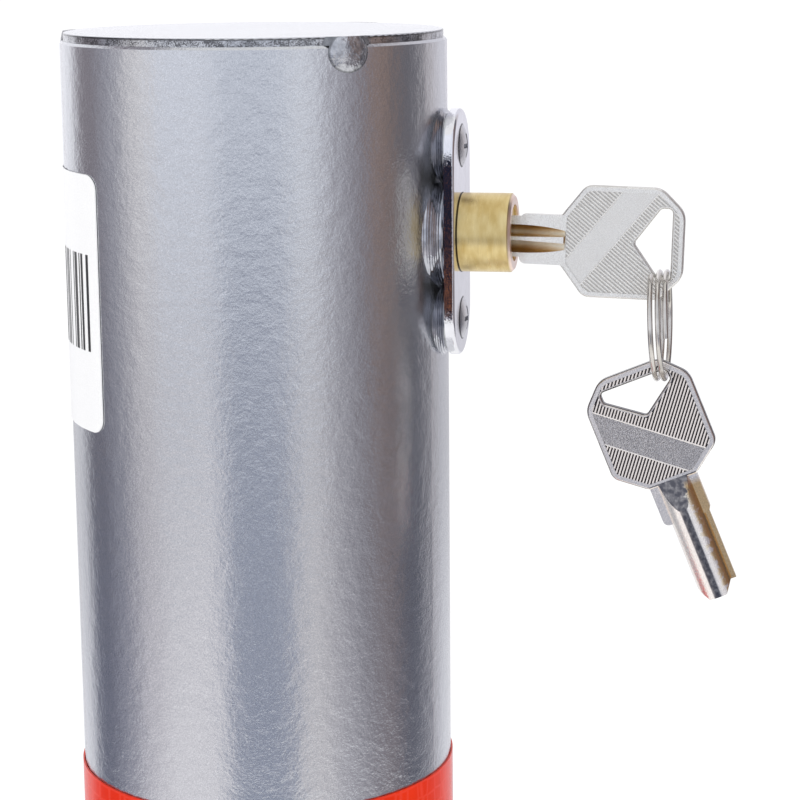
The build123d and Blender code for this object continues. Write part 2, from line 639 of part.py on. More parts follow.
def key_facet():
    """What the slanted flat at the root of the blade takes away."""
    crest = KEY_BLADE_R - KEY_HALF
    side = Polygon((-KEY_BOW_FLARE, KEY_HALF), (-KEY_RIM / 2, KEY_HALF), (KEY_FACET_LENGTH, crest),
                   (KEY_FACET_LENGTH, crest + 1), (-KEY_BOW_FLARE, crest + 1), align=None)
    return extrude(Plane.XZ * side, KEY_BLADE_R, both=True)


def key_ridge(start):
    """Rib that parts the trough in two, wider where it meets the bow."""
    end = KEY_BLADE_LENGTH - KEY_TIP_CUT
    half = [(start, -KEY_RIDGE_AT_BOW / 2), (KEY_TAB_LENGTH, -KEY_RIDGE / 2), (end, -KEY_RIDGE / 2)]
    plan = Polygon(*half, *[(x, -y) for x, y in reversed(half)], align=None)
    return extrude(Pos(0, 0, -KEY_HALF) * plan, (KEY_TROUGH_R + KEY_BLADE_R) / 2)


def key_blank():
    """One key: bow, shoulder tabs, fin and half-round blade."""
    start = -KEY_RIM / 2
    tabs = Pos(start, 0, -KEY_HALF) * Box(KEY_TAB_LENGTH - start, 2 * KEY_NECK_HALF, KEY_TAB_THICKNESS,
                                          align=(Align.MIN, Align.CENTER, Align.MIN))
    tabs = fillet(tabs.edges().filter_by(Axis.Z).group_by(Axis.X)[-1], KEY_TAB_CORNER_R)
    fin = Pos(start, 0, -KEY_HALF) * Box(KEY_FIN_LENGTH - start, KEY_FIN_HALF, KEY_FIN_THICKNESS,
                                         align=(Align.MIN, Align.MIN, Align.MIN))
    blade = blade_round(KEY_BLADE_R, -KEY_HALF, start, KEY_BLADE_LENGTH) - key_tip_cuts()
    return (key_bow() + tabs + fin + blade - key_trough() + key_ridge(start)) - key_facet()


def keyway():
    """Slot that the key's blade needs, in the key's frame."""
    slot = blade_round(KEY_BLADE_R + KEYWAY_GAP, -KEY_HALF - KEYWAY_GAP, 0, KEY_BLADE_LENGTH + KEYWAY_GAP)
    fin = Pos(0, 0, -KEY_HALF - KEYWAY_GAP) * Box(KEY_FIN_LENGTH + KEYWAY_GAP, KEY_FIN_HALF + KEYWAY_GAP,
                                                  KEY_FIN_THICKNESS + 2 * KEYWAY_GAP,
                                                  align=(Align.MIN, Align.MIN, Align.MIN))
    return slot + fin


def lock_key_plane():
    """Where the key in the lock lies: its back towards -Y."""
    return Plane(origin=KEY_NECK, x_dir=KEY_TO_TIP, z_dir=(0, 1, 0))


def in_lock_key(along, across):
    """Point of the key in the lock, from distances along and across its bow."""
    return lock_key_plane().from_local_coords(Vector(-along, across, 0))


def key_fin_top(x):
    """Height over the lock axis of the key's fin, at a place along X."""
    from_neck = KEY_NECK[0] - x
    return KEY_FIN_HALF / cos(radians(KEY_DROOP)) - KEY_DROP + from_neck * tan(radians(KEY_DROOP))


def key_pin_top():
    """Height over the lock axis at which a key pin stays inside the plug."""
    reach = TUMBLER_SIDE_OFFSET + TUMBLER_R
    return sqrt(PLUG_R**2 - reach**2) - SHAFT_GAP


def lock_plug():
    """Brass plug with the keyway, the pin holes and the groove of its retaining pin."""
    plug = rod_x(PLUG_R, PLUG_BACK_X, PLUG_FACE_X, z=LOCK_Z)
    plug -= lock_key_plane().location * keyway()
    groove_x = PLUG_BACK_X + PLUG_GROOVE_FROM_END
    plug -= ring_x(PLUG_R, PLUG_R - PLUG_GROOVE_DEPTH, groove_x, groove_x + PLUG_GROOVE_WIDTH, z=LOCK_Z)
    for x in tumbler_places():
        plug -= tumbler_rod(TUMBLER_R + SHAFT_GAP, x, 0, PLUG_R)
    return plug


def key_pins():
    """Pins in the plug that ride on the key's fin."""
    top = key_pin_top()
    return Compound([tumbler_rod(TUMBLER_R, x, key_fin_top(x + TUMBLER_R * -1) + SHAFT_GAP, top)
                     for x in tumbler_places()])


# Ring and spare key

def ring_seat():
    """Middle of the two strands that hang in the hole of the key in the lock."""
    return in_lock_key(RING_SEAT_ALONG, -RING_SEAT_ACROSS)


def split_ring():
    """Coil of a little over two turns, leaning so that its lowest strands hang under its highest."""
    coil = Helix(pitch=RING_PITCH, height=RING_PITCH * RING_TURNS, radius=RING_R)
    start = Plane(origin=coil @ 0, z_dir=coil % 0)
    wire = sweep(start * Circle(RING_WIRE / 2), path=coil, is_frenet=True)
    to_seat = RING_PITCH * (450 + RING_END_RISE) / 360
    upright_coil = Rot(0, 90, 0) * Pos(0, 0, -to_seat) * Rot(0, 0, -90 - RING_END_RISE) * wire
    lean = degrees(atan(RING_PITCH / (4 * RING_R)))
    return Pos(ring_seat()) * Rot(0, -lean, 0) * Pos(0, 0, -RING_R) * upright_coil


def spare_key():
    """Second key, hanging from the bottom of the ring with its front towards -Y."""
    lean = radians(SPARE_LEAN)
    frame = Plane(origin=(0, 0, 0), x_dir=(sin(lean), 0, -cos(lean)), z_dir=(0, -1, 0))
    seat = frame.from_local_coords(Vector(-SPARE_SEAT_ALONG, SPARE_SEAT_ACROSS, 0))
    hang = ring_seat() - Vector(0, 0, sqrt((2 * RING_R)**2 + (RING_PITCH / 2)**2))
    return Pos(hang - seat) * frame.location * key_blank()


def all_nodes():
    """Every named piece, by body."""
    base = {"base_plate": base_plate(), "hinge_ear_left": hinge_ear(-EAR_X - EAR_THICKNESS),
            "hinge_ear_right": hinge_ear(EAR_X), "ear_welds": ear_welds(), "hinge_bolt": hinge_bolt(),
            "hinge_nut": hinge_nut(), "hinge_washers": hinge_washers()}
    core = {"core_bar": core_bar(), "core_guide": core_guide(), "guide_pins": guide_pins(),
            "lift_stop_pin": lift_stop_pin()}
    post = {"post_tube": post_tube(), "top_cap": top_cap(), "cap_weld_beads": cap_weld_beads(),
            "tube_foot_disc": tube_foot_disc(), "reflective_band": reflective_band(), "label": label()}
    lock = {"lock_collar": lock_collar(), "lock_boss_upper": lock_boss(LOCK_SCREW_OFFSET),
            "lock_boss_lower": lock_boss(-LOCK_SCREW_OFFSET), "lock_washers": lock_washers(),
            "lock_housing": lock_housing(), "lock_screw_upper": lock_screw(LOCK_SCREW_OFFSET),
            "lock_screw_lower": lock_screw(-LOCK_SCREW_OFFSET), "lock_back_plate": lock_back_plate(),
            "lock_spring": lock_spring()}
    cylinder = {"lock_cylinder": lock_cylinder(), "lock_bolt": lock_bolt(), "plug_retainer": retainer_rod(RETAINER_R),
                "driver_pins": driver_pins(), "driver_springs": driver_springs()}
    plug = {"lock_plug": lock_plug(), "key_pins": key_pins(),
            "key_in_lock": lock_key_plane().location * key_blank()}
    keys = {"split_ring": split_ring(), "spare_key": spare_key()}
    return {**base, **core, **post, **lock, **cylinder, **plug, **keys}


os.makedirs("parts", exist_ok=True)
for name, shape in all_nodes().items():
    export_step(shape, f"parts/{name}.step")
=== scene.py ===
"""Parking bollard with a push lock and two keys: finishes, fine detail, studio and camera."""

import logging
from collections.abc import Iterable, Sequence
from dataclasses import dataclass, field
from enum import Enum
from math import cos, pi, radians, sin

import bmesh
import bpy
from mathutils import Matrix, Vector


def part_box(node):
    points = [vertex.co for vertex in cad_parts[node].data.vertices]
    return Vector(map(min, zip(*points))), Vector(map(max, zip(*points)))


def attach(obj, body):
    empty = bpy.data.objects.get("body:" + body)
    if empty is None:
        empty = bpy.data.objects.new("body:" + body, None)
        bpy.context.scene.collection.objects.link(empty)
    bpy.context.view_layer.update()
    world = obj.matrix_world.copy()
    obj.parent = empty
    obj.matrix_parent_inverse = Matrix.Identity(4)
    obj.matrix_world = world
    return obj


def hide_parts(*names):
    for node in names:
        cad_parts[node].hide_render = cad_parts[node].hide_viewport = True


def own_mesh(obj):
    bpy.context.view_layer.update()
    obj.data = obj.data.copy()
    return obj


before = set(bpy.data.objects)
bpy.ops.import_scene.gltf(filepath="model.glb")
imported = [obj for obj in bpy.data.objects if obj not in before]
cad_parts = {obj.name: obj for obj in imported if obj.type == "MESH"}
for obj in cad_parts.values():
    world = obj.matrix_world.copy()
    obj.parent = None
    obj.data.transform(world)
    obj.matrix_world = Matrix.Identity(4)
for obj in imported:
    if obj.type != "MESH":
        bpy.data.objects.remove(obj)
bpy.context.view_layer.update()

LOG = logging.getLogger("bollard")

MM = 0.001
LOCK_Z = 710.6 * MM
SCREW_OFFSET = 17.0 * MM
MERGE_REACH = 0.001 * MM

Socket = bpy.types.NodeSocket
Span = tuple[float, float]
Triple = tuple[float, float, float]
Colour = tuple[float, float, float]
Axes = tuple[Socket, Socket, Socket]
Outline = tuple[tuple[float, float], ...]

RISING: Span = (0.0, 1.0)
FALLING: Span = (1.0, 0.0)


class Body(Enum):
    """Moving bodies that new pieces ride on."""

    POST = "post"
    PLUG = "plug"
    SPARE = "spare"


class Slot(Enum):
    """Material slots of the record, named in each new piece's description."""

    PAINT = "silver_paint"
    NICKEL = "key_nickel"
    SPRING = "spring_steel"
    STICKER = "sticker"


class KeySide(Enum):
    """The two faces of a key, by the sign of the face's normal."""

    FRONT = 1
    BACK = -1


@dataclass(frozen=True)
class Relief:
    """Fine relief of a surface: how much of it shows, metres for its full height, and its pattern."""

    strength: float
    depth: float
    scale: float = 1.0
    grain: float = 0.0


def rgba(colour: Colour) -> tuple[float, float, float, float]:
    """Gives an opaque colour its alpha."""
    return (*colour, 1.0)


def toned(colour: Colour, share: float) -> Colour:
    """Darkens a colour to a share of its light."""
    return tuple(value * share for value in colour)


# Surface patterns shared by several finishes

class Pattern:
    """A shader node group with named sockets."""

    def __init__(self, name: str, inputs: dict[str, float], outputs: Sequence[str]) -> None:
        """Makes an empty group.

        Args:
            name: the group's name.
            inputs: number inputs and their defaults; every group also reads a vector.
            outputs: names of the number outputs.
        """
        self.tree = bpy.data.node_groups.new(name, "ShaderNodeTree")
        self.tree.interface.new_socket(name="Vector", in_out="INPUT", socket_type="NodeSocketVector")
        for label, value in inputs.items():
            socket = self.tree.interface.new_socket(name=label, in_out="INPUT", socket_type="NodeSocketFloat")
            socket.default_value = value
        for label in outputs:
            self.tree.interface.new_socket(name=label, in_out="OUTPUT", socket_type="NodeSocketFloat")
        self.source = self.tree.nodes.new("NodeGroupInput")
        self.sink = self.tree.nodes.new("NodeGroupOutput")

    def link(self, start: Socket, end: Socket) -> None:
        """Joins two sockets of the group."""
        self.tree.links.new(start, end)

    def give(self, value: Socket, label: str) -> None:
        """Links a value to an output of the group."""
        self.link(value, self.sink.inputs[label])

    def noise(self, factor: float, detail: float) -> Socket:
        """Adds a noise whose scale is the group's Scale input times a factor.

        Args:
            factor: how much finer than Scale the noise is.
            detail: octaves of the noise.

        Returns:
            The noise's value socket.
        """
        times = self.tree.nodes.new("ShaderNodeMath")
        times.operation = "MULTIPLY"
        times.inputs[1].default_value = factor
        self.link(self.source.outputs["Scale"], times.inputs[0])
        texture = self.tree.nodes.new("ShaderNodeTexNoise")
        texture.inputs["Detail"].default_value = detail
        self.link(self.source.outputs["Vector"], texture.inputs["Vector"])
        self.link(times.outputs[0], texture.inputs["Scale"])
        return texture.outputs["Fac"]

    def spread(self, value: Socket, low: float, high: float) -> Socket:
        """Stretches a value's middle range to 0 to 1.

        Args:
            value: the socket that is stretched.
            low: the value that becomes 0.
            high: the value that becomes 1.

        Returns:
            The stretched value's socket.
        """
        span = self.tree.nodes.new("ShaderNodeMapRange")
        span.inputs["From Min"].default_value = low
        span.inputs["From Max"].default_value = high
        self.link(value, span.inputs["Value"])
        return span.outputs["Result"]


def relief_pattern() -> bpy.types.NodeTree:
    """Builds soft pebbled relief with a finer grain on it."""
    pattern = Pattern("pebbled_relief", {"Scale": 500.0, "Grain": 0.3}, ["Height", "Mask"])
    broad = pattern.noise(factor=1.0, detail=1.5)
    fine = pattern.noise(factor=4.5, detail=2.0)
    mix = pattern.tree.nodes.new("ShaderNodeMix")
    pattern.link(pattern.source.outputs["Grain"], mix.inputs["Factor"])
    pattern.link(broad, mix.inputs["A"])
    pattern.link(fine, mix.inputs["B"])
    pattern.give(mix.outputs["Result"], "Height")
    pattern.give(pattern.spread(fine, low=0.35, high=0.65), "Mask")
    return pattern.tree


def wear_pattern() -> bpy.types.NodeTree:
    """Builds broad uneven patches, as handling and polish leave them."""
    pattern = Pattern("uneven_patches", {"Scale": 40.0}, ["Mask"])
    broad = pattern.noise(factor=1.0, detail=4.0)
    pattern.give(pattern.spread(broad, low=0.32, high=0.68), "Mask")
    return pattern.tree


def tooling_pattern() -> bpy.types.NodeTree:
    """Builds fine lines across a stretched vector, as a lathe or a brush leaves them."""
    pattern = Pattern("tool_lines", {"Scale": 1.0}, ["Height", "Mask"])
    lines = pattern.noise(factor=1.0, detail=3.0)
    pattern.give(lines, "Height")
    pattern.give(pattern.spread(lines, low=0.3, high=0.7), "Mask")
    return pattern.tree


@dataclass(frozen=True)
class Patterns:
    """The groups that the finishes place."""

    relief: bpy.types.NodeTree = field(default_factory=relief_pattern)
    wear: bpy.types.NodeTree = field(default_factory=wear_pattern)
    tooling: bpy.types.NodeTree = field(default_factory=tooling_pattern)


PATTERNS = Patterns()


class Sketch:
    """One material while its nodes are put together."""

    def __init__(self, name: str, metallic: float = 0.0) -> None:
        """Starts a material.

        Args:
            name: the material's name.
            metallic: how metallic it is.
        """
        self.material = bpy.data.materials.new(name)
        self.material.use_nodes = True
        self.tree = self.material.node_tree
        self.bsdf = self.tree.nodes["Principled BSDF"]
        self.bsdf.inputs["Metallic"].default_value = metallic
        self.object_place = self.node("ShaderNodeTexCoord").outputs["Object"]

    def node(self, kind: str, **settings: object) -> bpy.types.Node:
        """Adds a node.

        Args:
            kind: the node's type name.
            settings: properties to set on it.

        Returns:
            The new node.
        """
        made = self.tree.nodes.new(kind)
        for label, value in settings.items():
            setattr(made, label, value)
        return made

    def link(self, start: Socket, end: Socket) -> None:
        """Joins two sockets."""
        self.tree.links.new(start, end)

    def put(self, value: Socket | float | Sequence[float], socket: Socket) -> None:
        """Gives an input its value.

        Args:
            value: a socket that is linked, or a number or colour that is set.
            socket: the input.
        """
        if isinstance(value, Socket):
            self.link(value, socket)
        else:
            socket.default_value = value

    def feed(self, value: Socket, label: str) -> None:
        """Links a value to a socket of the shader."""
        self.link(value, self.bsdf.inputs[label])

    def fix(self, **values: float) -> None:
        """Sets constant sockets of the shader, with underscores for the spaces in their names."""
        for label, value in values.items():
            self.bsdf.inputs[label.replace("_", " ").title().replace("Ior", "IOR")].default_value = value

    def surface(self, shader: Socket) -> None:
        """Links a shader to the material's surface."""
        self.link(shader, self.tree.nodes["Material Output"].inputs["Surface"])

    def placed(self, stretch: Triple) -> Socket:
        """Gives object coordinates stretched along the axes.

        Args:
            stretch: factors along X, Y and Z.

        Returns:
            The mapped vector's socket.
        """
        mapping = self.node("ShaderNodeMapping")
        mapping.inputs["Scale"].default_value = stretch
        self.link(self.object_place, mapping.inputs["Vector"])
        return mapping.outputs["Vector"]

    def axes(self, vector: Socket | None = None) -> Axes:
        """Splits a vector.

        Args:
            vector: the vector's socket; object coordinates if left out.

        Returns:
            The sockets of X, Y and Z.
        """
        split = self.node("ShaderNodeSeparateXYZ")
        self.link(vector or self.object_place, split.inputs[0])
        return tuple(split.outputs[axis] for axis in "XYZ")

    def pattern(self, tree: bpy.types.NodeTree, vector: Socket | None = None, **values: float) -> bpy.types.Node:
        """Places a shared pattern.

        Args:
            tree: the pattern's group.
            vector: where it is read; object coordinates if left out.
            values: its inputs.

        Returns:
            The group's node.
        """
        group = self.node("ShaderNodeGroup", node_tree=tree)
        self.link(vector or self.object_place, group.inputs["Vector"])
        for label, value in values.items():
            group.inputs[label].default_value = value
        return group

    def pebbles(self, relief: Relief) -> bpy.types.Node:
        """Places pebbled relief, with the outputs Height and Mask."""
        return self.pattern(PATTERNS.relief, Scale=relief.scale, Grain=relief.grain)

    def specks(self, scale: float) -> Socket:
        """Places fine specks and gives their mask."""
        return self.pattern(PATTERNS.relief, Scale=scale).outputs["Mask"]

    def patches(self, scale: float, stretch: Triple | None = None) -> Socket:
        """Places uneven patches.

        Args:
            scale: how fine they are.
            stretch: factors along X, Y and Z, if they are stretched.

        Returns:
            Their mask.
        """
        vector = self.placed(stretch) if stretch else None
        return self.pattern(PATTERNS.wear, vector, Scale=scale).outputs["Mask"]

    def colours(self, mask: Socket, low: Colour | Socket, high: Colour | Socket) -> Socket:
        """Mixes two colours by a mask.

        Args:
            mask: 0 gives the first colour and 1 the second.
            low: the first colour, or a socket that gives it.
            high: the second colour, or a socket that gives it.

        Returns:
            The mixed colour's socket.
        """
        mix = self.node("ShaderNodeMix", data_type="RGBA")
        self.link(mask, mix.inputs["Factor"])
        for value, socket in ((low, mix.inputs[6]), (high, mix.inputs[7])):
            self.put(value if isinstance(value, Socket) else rgba(value), socket)
        return mix.outputs[2]

    def span(self, value: Socket, start: Span, end: Span = RISING) -> Socket:
        """Maps a range of a value to another range, clamped.

        Args:
            value: the socket that is mapped.
            start: the range that is read.
            end: the range that it becomes.

        Returns:
            The mapped value's socket.
        """
        mapped = self.node("ShaderNodeMapRange")
        for label, number in zip(("From Min", "From Max", "To Min", "To Max"), (*start, *end)):
            mapped.inputs[label].default_value = number
        self.link(value, mapped.inputs["Value"])
        return mapped.outputs["Result"]

    def combine(self, operation: str, first: Socket | float, second: Socket | float = 0.0) -> Socket:
        """Combines two numbers, or works on the first one alone.

        Args:
            operation: a math node's operation.
            first: a socket or a number.
            second: a socket or a number.

        Returns:
            The result's socket.
        """
        math = self.node("ShaderNodeMath", operation=operation)
        self.put(first, math.inputs[0])
        self.put(second, math.inputs[1])
        return math.outputs[0]

    def product(self, first: Socket, second: Socket | float) -> Socket:
        """Multiplies two numbers."""
        return self.combine("MULTIPLY", first, second)

    def off(self, value: Socket, middle: float = 0.0) -> Socket:
        """Gives how far a value lies from a middle, to either side."""
        return self.combine("ABSOLUTE", self.combine("SUBTRACT", value, middle))

    def hypotenuse(self, first: Socket, second: Socket) -> Socket:
        """Gives the length of two numbers at right angles."""
        squares = self.combine("ADD", self.product(first, first), self.product(second, second))
        return self.combine("SQRT", squares)

    def roughen(self, mask: Socket, roughness: Span) -> None:
        """Gives the surface a roughness that varies with a mask."""
        self.feed(self.span(mask, RISING, roughness), "Roughness")

    def bump(self, height: Socket, relief: Relief) -> None:
        """Raises the surface by a height.

        Args:
            height: the height's socket, from 0 to 1.
            relief: how much of it shows, and how high it is.
        """
        bump = self.node("ShaderNodeBump")
        bump.inputs["Strength"].default_value = relief.strength
        bump.inputs["Distance"].default_value = relief.depth
        self.link(height, bump.inputs["Height"])
        self.feed(bump.outputs["Normal"], "Normal")


# Finishes

@dataclass(frozen=True)
class SilverPaint:
    """Silver stoving paint with flakes, orange peel and a fine grain."""

    name: str = "silver_paint_gloss"
    deep: Colour = (0.46, 0.475, 0.51)
    light: Colour = (0.55, 0.56, 0.59)
    flake: Colour = (0.72, 0.73, 0.76)
    flake_mask: Span = (0.3, 1.0)
    flake_share: float = 0.75
    metallic: float = 0.95
    roughness: Span = (0.1, 0.18)
    coat_weight: float = 0.15
    coat_roughness: float = 0.06
    patch_scale: float = 30.0
    patch_stretch: Triple = (1, 1, 0.25)
    peel: Relief = Relief(strength=0.6, depth=0.22 * MM, scale=380.0, grain=0.3)
    grain_scale: float = 1500.0
    grain_fineness: float = 0.5
    grain_share: float = 0.3

    def tint(self, sketch: Sketch, paint: Socket) -> Socket:
        """Leaves the paint's colour as it is."""
        return paint

    def material(self) -> bpy.types.Material:
        """Builds the paint."""
        sketch = Sketch(self.name, self.metallic)
        peel = sketch.pebbles(self.peel)
        grain = sketch.pattern(PATTERNS.relief, Scale=self.grain_scale, Grain=self.grain_fineness)
        patches = sketch.patches(self.patch_scale, self.patch_stretch)
        base = sketch.colours(patches, self.deep, self.light)
        flakes = sketch.span(grain.outputs["Mask"], self.flake_mask, (0.0, self.flake_share))
        sketch.feed(self.tint(sketch, sketch.colours(flakes, base, self.flake)), "Base Color")
        sketch.roughen(patches, self.roughness)
        sketch.fix(coat_weight=self.coat_weight, coat_roughness=self.coat_roughness)
        fine = sketch.product(grain.outputs["Height"], self.grain_share)
        sketch.bump(sketch.combine("ADD", peel.outputs["Height"], fine), self.peel)
        return sketch.material


@dataclass(frozen=True)
class LidPaint(SilverPaint):
    """The same paint, darkened in specks and lumps on the lid's narrow side and dark along its upper edge."""

    name: str = "silver_paint_lid"
    darkening: Colour = (0.03, 0.03, 0.035)
    dark_speck_mask: Span = (0.38, 0.58)
    dark_speck_shares: Span = (0.85, 0.1)
    speck_scale: float = 1100.0
    speck_share: float = 0.55
    lump_scale: float = 380.0
    side_r: Span = (37.14 * MM, 37.24 * MM)
    upper_edge_z: Span = (749.44 * MM, 749.72 * MM)

    def tint(self, sketch: Sketch, paint: Socket) -> Socket:
        """Darkens the lid's side in specks.

        Args:
            sketch: the material in work.
            paint: the paint's colour.

        Returns:
            The colour with its dark specks and dark upper edge.
        """
        x, y, z = sketch.axes()
        side = sketch.span(sketch.hypotenuse(x, y), self.side_r)
        specks = sketch.product(sketch.specks(self.speck_scale), self.speck_share)
        lumps = sketch.product(sketch.patches(self.lump_scale), 1 - self.speck_share)
        specked = sketch.span(sketch.combine("ADD", specks, lumps), self.dark_speck_mask, self.dark_speck_shares)
        dark = sketch.combine("MAXIMUM", specked, sketch.span(z, self.upper_edge_z))
        return sketch.colours(sketch.product(dark, side), paint, self.darkening)


@dataclass(frozen=True)
class WeldMetal:
    """Uneven painted weld or flared seat, with painted shade where it meets the tube."""

    name: str
    deep: Colour
    light: Colour
    roughness: Span
    relief: Relief
    contact_shade_r: Span
    contact_shade_share: float = 0.6
    contact_shade_tone: float = 0.15
    soot_fineness: float = 1.6
    metallic: float = 0.95

    def material(self) -> bpy.types.Material:
        """Builds the weld."""
        sketch = Sketch(self.name, self.metallic)
        soot = sketch.patches(self.relief.scale * self.soot_fineness)
        base = sketch.colours(soot, self.deep, self.light)
        x, y, _ = sketch.axes()
        # painted shade: the colour darkens towards the tube's surface, as if shaded where the parts meet
        foot = sketch.span(sketch.hypotenuse(x, y), self.contact_shade_r, (self.contact_shade_share, 0.0))
        sketch.feed(sketch.colours(foot, base, toned(self.deep, self.contact_shade_tone)), "Base Color")
        sketch.roughen(soot, self.roughness)
        sketch.bump(sketch.pebbles(self.relief).outputs["Height"], self.relief)
        return sketch.material


@dataclass(frozen=True)
class LockChrome:
    """Bright chrome on a die casting, with faint ripples and painted reflections on its side walls: near-black with
    copper flecks.
    """

    name: str = "lock_chrome_plate"
    colour: Colour = (0.80, 0.80, 0.84)
    dull_tone: float = 0.9
    dark_reflection_tone: Colour = (0.014, 0.015, 0.028)
    copper_reflection_tone: Colour = (0.3, 0.12, 0.06)
    copper_reflection_z: Span = (700.0 * MM, 716.0 * MM)
    copper_reflection_limits: Span = (0.85, 0.32)
    pit_scale: float = 1300.0
    fleck_scale: float = 3000.0
    behind_face_x: Span = (40.9 * MM, 41.05 * MM)
    wall_y: Span = (9.3 * MM, 10.0 * MM)
    painted_reflection_reach: Span = (12.5 * MM, 19.5 * MM)
    raggedness: Span = (-0.35, 0.1)
    edge_mask: Span = (0.3, 0.5)
    patch_scale: float = 300.0
    roughness: Span = (0.06, 0.14)
    relief: Relief = Relief(strength=0.35, depth=0.07 * MM, scale=650.0, grain=0.35)

    def side_wall(self, sketch: Sketch) -> Socket:
        """Finds the straight part of the plate's side walls, behind its face.

        Args:
            sketch: the material in work.

        Returns:
            A mask that is 1 on the side walls.
        """
        x, y, z = sketch.axes()
        beside = sketch.span(sketch.off(y), self.wall_y)
        behind = sketch.span(x, self.behind_face_x, FALLING)
        inner = sketch.span(sketch.off(z, LOCK_Z), self.painted_reflection_reach, FALLING)
        return sketch.product(sketch.product(behind, beside), inner)

    def material(self) -> bpy.types.Material:
        """Builds the chrome."""
        sketch = Sketch(self.name, metallic=1.0)
        patches = sketch.patches(self.patch_scale)
        pits = sketch.specks(self.pit_scale)
        flecks = sketch.combine("ADD", pits, sketch.specks(self.fleck_scale))
        # painted reflection: the side walls turn near-black with copper flecks, standing in for the dark and
        # brownish surroundings mirrored there; fewer flecks towards the top
        limit = sketch.span(sketch.axes()[2], self.copper_reflection_z, self.copper_reflection_limits)
        painted_reflection = sketch.colours(sketch.combine("LESS_THAN", flecks, limit), self.dark_reflection_tone, self.copper_reflection_tone)
        clean = sketch.colours(patches, self.colour, toned(self.colour, self.dull_tone))
        ragged = sketch.combine("ADD", self.side_wall(sketch),
                                sketch.span(pits, RISING, self.raggedness))
        edge = sketch.span(ragged, self.edge_mask)
        sketch.feed(sketch.colours(edge, clean, painted_reflection), "Base Color")
        sketch.roughen(patches, self.roughness)
        sketch.bump(sketch.pebbles(self.relief).outputs["Height"], self.relief)
        return sketch.material


@dataclass(frozen=True)
class TurnedBrass:
    """Brass turned on a lathe, with rings across its axis, a painted reflection on its front face and painted shade
    at its joint with the lock plate.
    """

    name: str = "lock_brass_turned"
    deep: Colour = (0.56, 0.41, 0.16)
    light: Colour = (0.72, 0.58, 0.29)
    white_reflection_tone: Colour = (0.9, 0.72, 0.62)
    white_reflection_x: Span = (51.2 * MM, 51.5 * MM)
    joint: Colour = (0.02, 0.012, 0.006)
    joint_shade_x: float = 41.35 * MM
    joint_shade_reach: Span = (0.15 * MM, 0.25 * MM)
    joint_shade_share: float = 0.95
    ring_stretch: Triple = (5200, 90, 90)
    ring_relief: Relief = Relief(strength=0.5, depth=0.03 * MM)
    patch_scale: float = 230.0
    patch_stretch: Triple = (2.5, 1, 1)
    roughness: Span = (0.26, 0.38)

    def material(self) -> bpy.types.Material:
        """Builds the brass."""
        sketch = Sketch(self.name, metallic=1.0)
        rings = sketch.pattern(PATTERNS.tooling, sketch.placed(self.ring_stretch))
        x = sketch.axes()[0]
        patches = sketch.patches(self.patch_scale, self.patch_stretch)
        turned = sketch.colours(patches, self.deep, self.light)
        # painted reflection: the front face is lightened to pale pink, as if mirroring the white surroundings
        white_reflected = sketch.colours(sketch.span(x, self.white_reflection_x), turned, self.white_reflection_tone)
        # painted shade: a near-black ring on the cylinder where it meets the lock plate's face
        line = sketch.span(sketch.off(x, self.joint_shade_x), self.joint_shade_reach, (self.joint_shade_share, 0.0))
        sketch.feed(sketch.colours(line, white_reflected, self.joint), "Base Color")
        sketch.roughen(rings.outputs["Mask"], self.roughness)
        sketch.bump(rings.outputs["Height"], self.ring_relief)
        return sketch.material


@dataclass(frozen=True)
class PlatedSteel:
    """Nickel or zinc plated steel with a fine grain and handling marks."""

    name: str
    deep: Colour
    light: Colour
    roughness: Span
    relief: Relief = Relief(strength=0.4, depth=0.03 * MM, scale=2600.0, grain=0.4)
    patch_scale: float = 180.0

    def tint(self, sketch: Sketch, plating: Socket) -> Socket:
        """Leaves the plating's colour as it is."""
        return plating

    def material(self) -> bpy.types.Material:
        """Builds the plated steel."""
        sketch = Sketch(self.name, metallic=1.0)
        patches = sketch.patches(self.patch_scale)
        sketch.feed(self.tint(sketch, sketch.colours(patches, self.deep, self.light)), "Base Color")
        sketch.roughen(patches, self.roughness)
        sketch.bump(sketch.pebbles(self.relief).outputs["Height"], self.relief)
        return sketch.material


@dataclass(frozen=True)
class ScrewZinc(PlatedSteel):
    """The same plating with a dark seam round each screw head."""

    seam: Colour = (0.03, 0.03, 0.035)
    seam_r: Span = (3.95 * MM, 4.1 * MM)
    seam_share: float = 0.95

    def tint(self, sketch: Sketch, plating: Socket) -> Socket:
        """Darkens the seam.

        Args:
            sketch: the material in work.
            plating: the plating's colour.

        Returns:
            The colour with its seam.
        """
        _, y, z = sketch.axes()
        height = sketch.combine("SUBTRACT", sketch.off(z, LOCK_Z), SCREW_OFFSET)
        ring = sketch.span(sketch.hypotenuse(y, height), self.seam_r, (0.0, self.seam_share))
        return sketch.colours(ring, plating, self.seam)


@dataclass(frozen=True)
class KeyPlace:
    """Where a key lies: its neck, the way to its tip and the way out of its front, in metres."""

    neck: Vector
    to_tip: Vector
    front: Vector

    @property
    def across(self) -> Vector:
        """The way across the bow."""
        return self.front.cross(self.to_tip)

    def matrix(self) -> Matrix:
        """Turns the key's own frame into the model's."""
        turned = Matrix((self.to_tip, self.across, self.front)).transposed()
        return Matrix.Translation(self.neck) @ turned.to_4x4()

    def axes(self, sketch: Sketch) -> Axes:
        """Reads a point's place in the key's own frame.

        Args:
            sketch: the material in work.

        Returns:
            The sockets of X to the tip, Y across the bow and Z out of the front.
        """
        mapping = sketch.node("ShaderNodeMapping", vector_type="TEXTURE")
        mapping.inputs["Location"].default_value = self.neck
        mapping.inputs["Rotation"].default_value = self.matrix().to_euler("XYZ")
        sketch.link(sketch.object_place, mapping.inputs["Vector"])
        return sketch.axes(mapping.outputs["Vector"])


# The plain diagonal band of a key's bow: the way across it, and its two edges along that way

BAND_TURN = Vector((0.785, -0.62)).normalized()
BAND_ENDS: Span = (-8.5 * MM, -3.05 * MM)


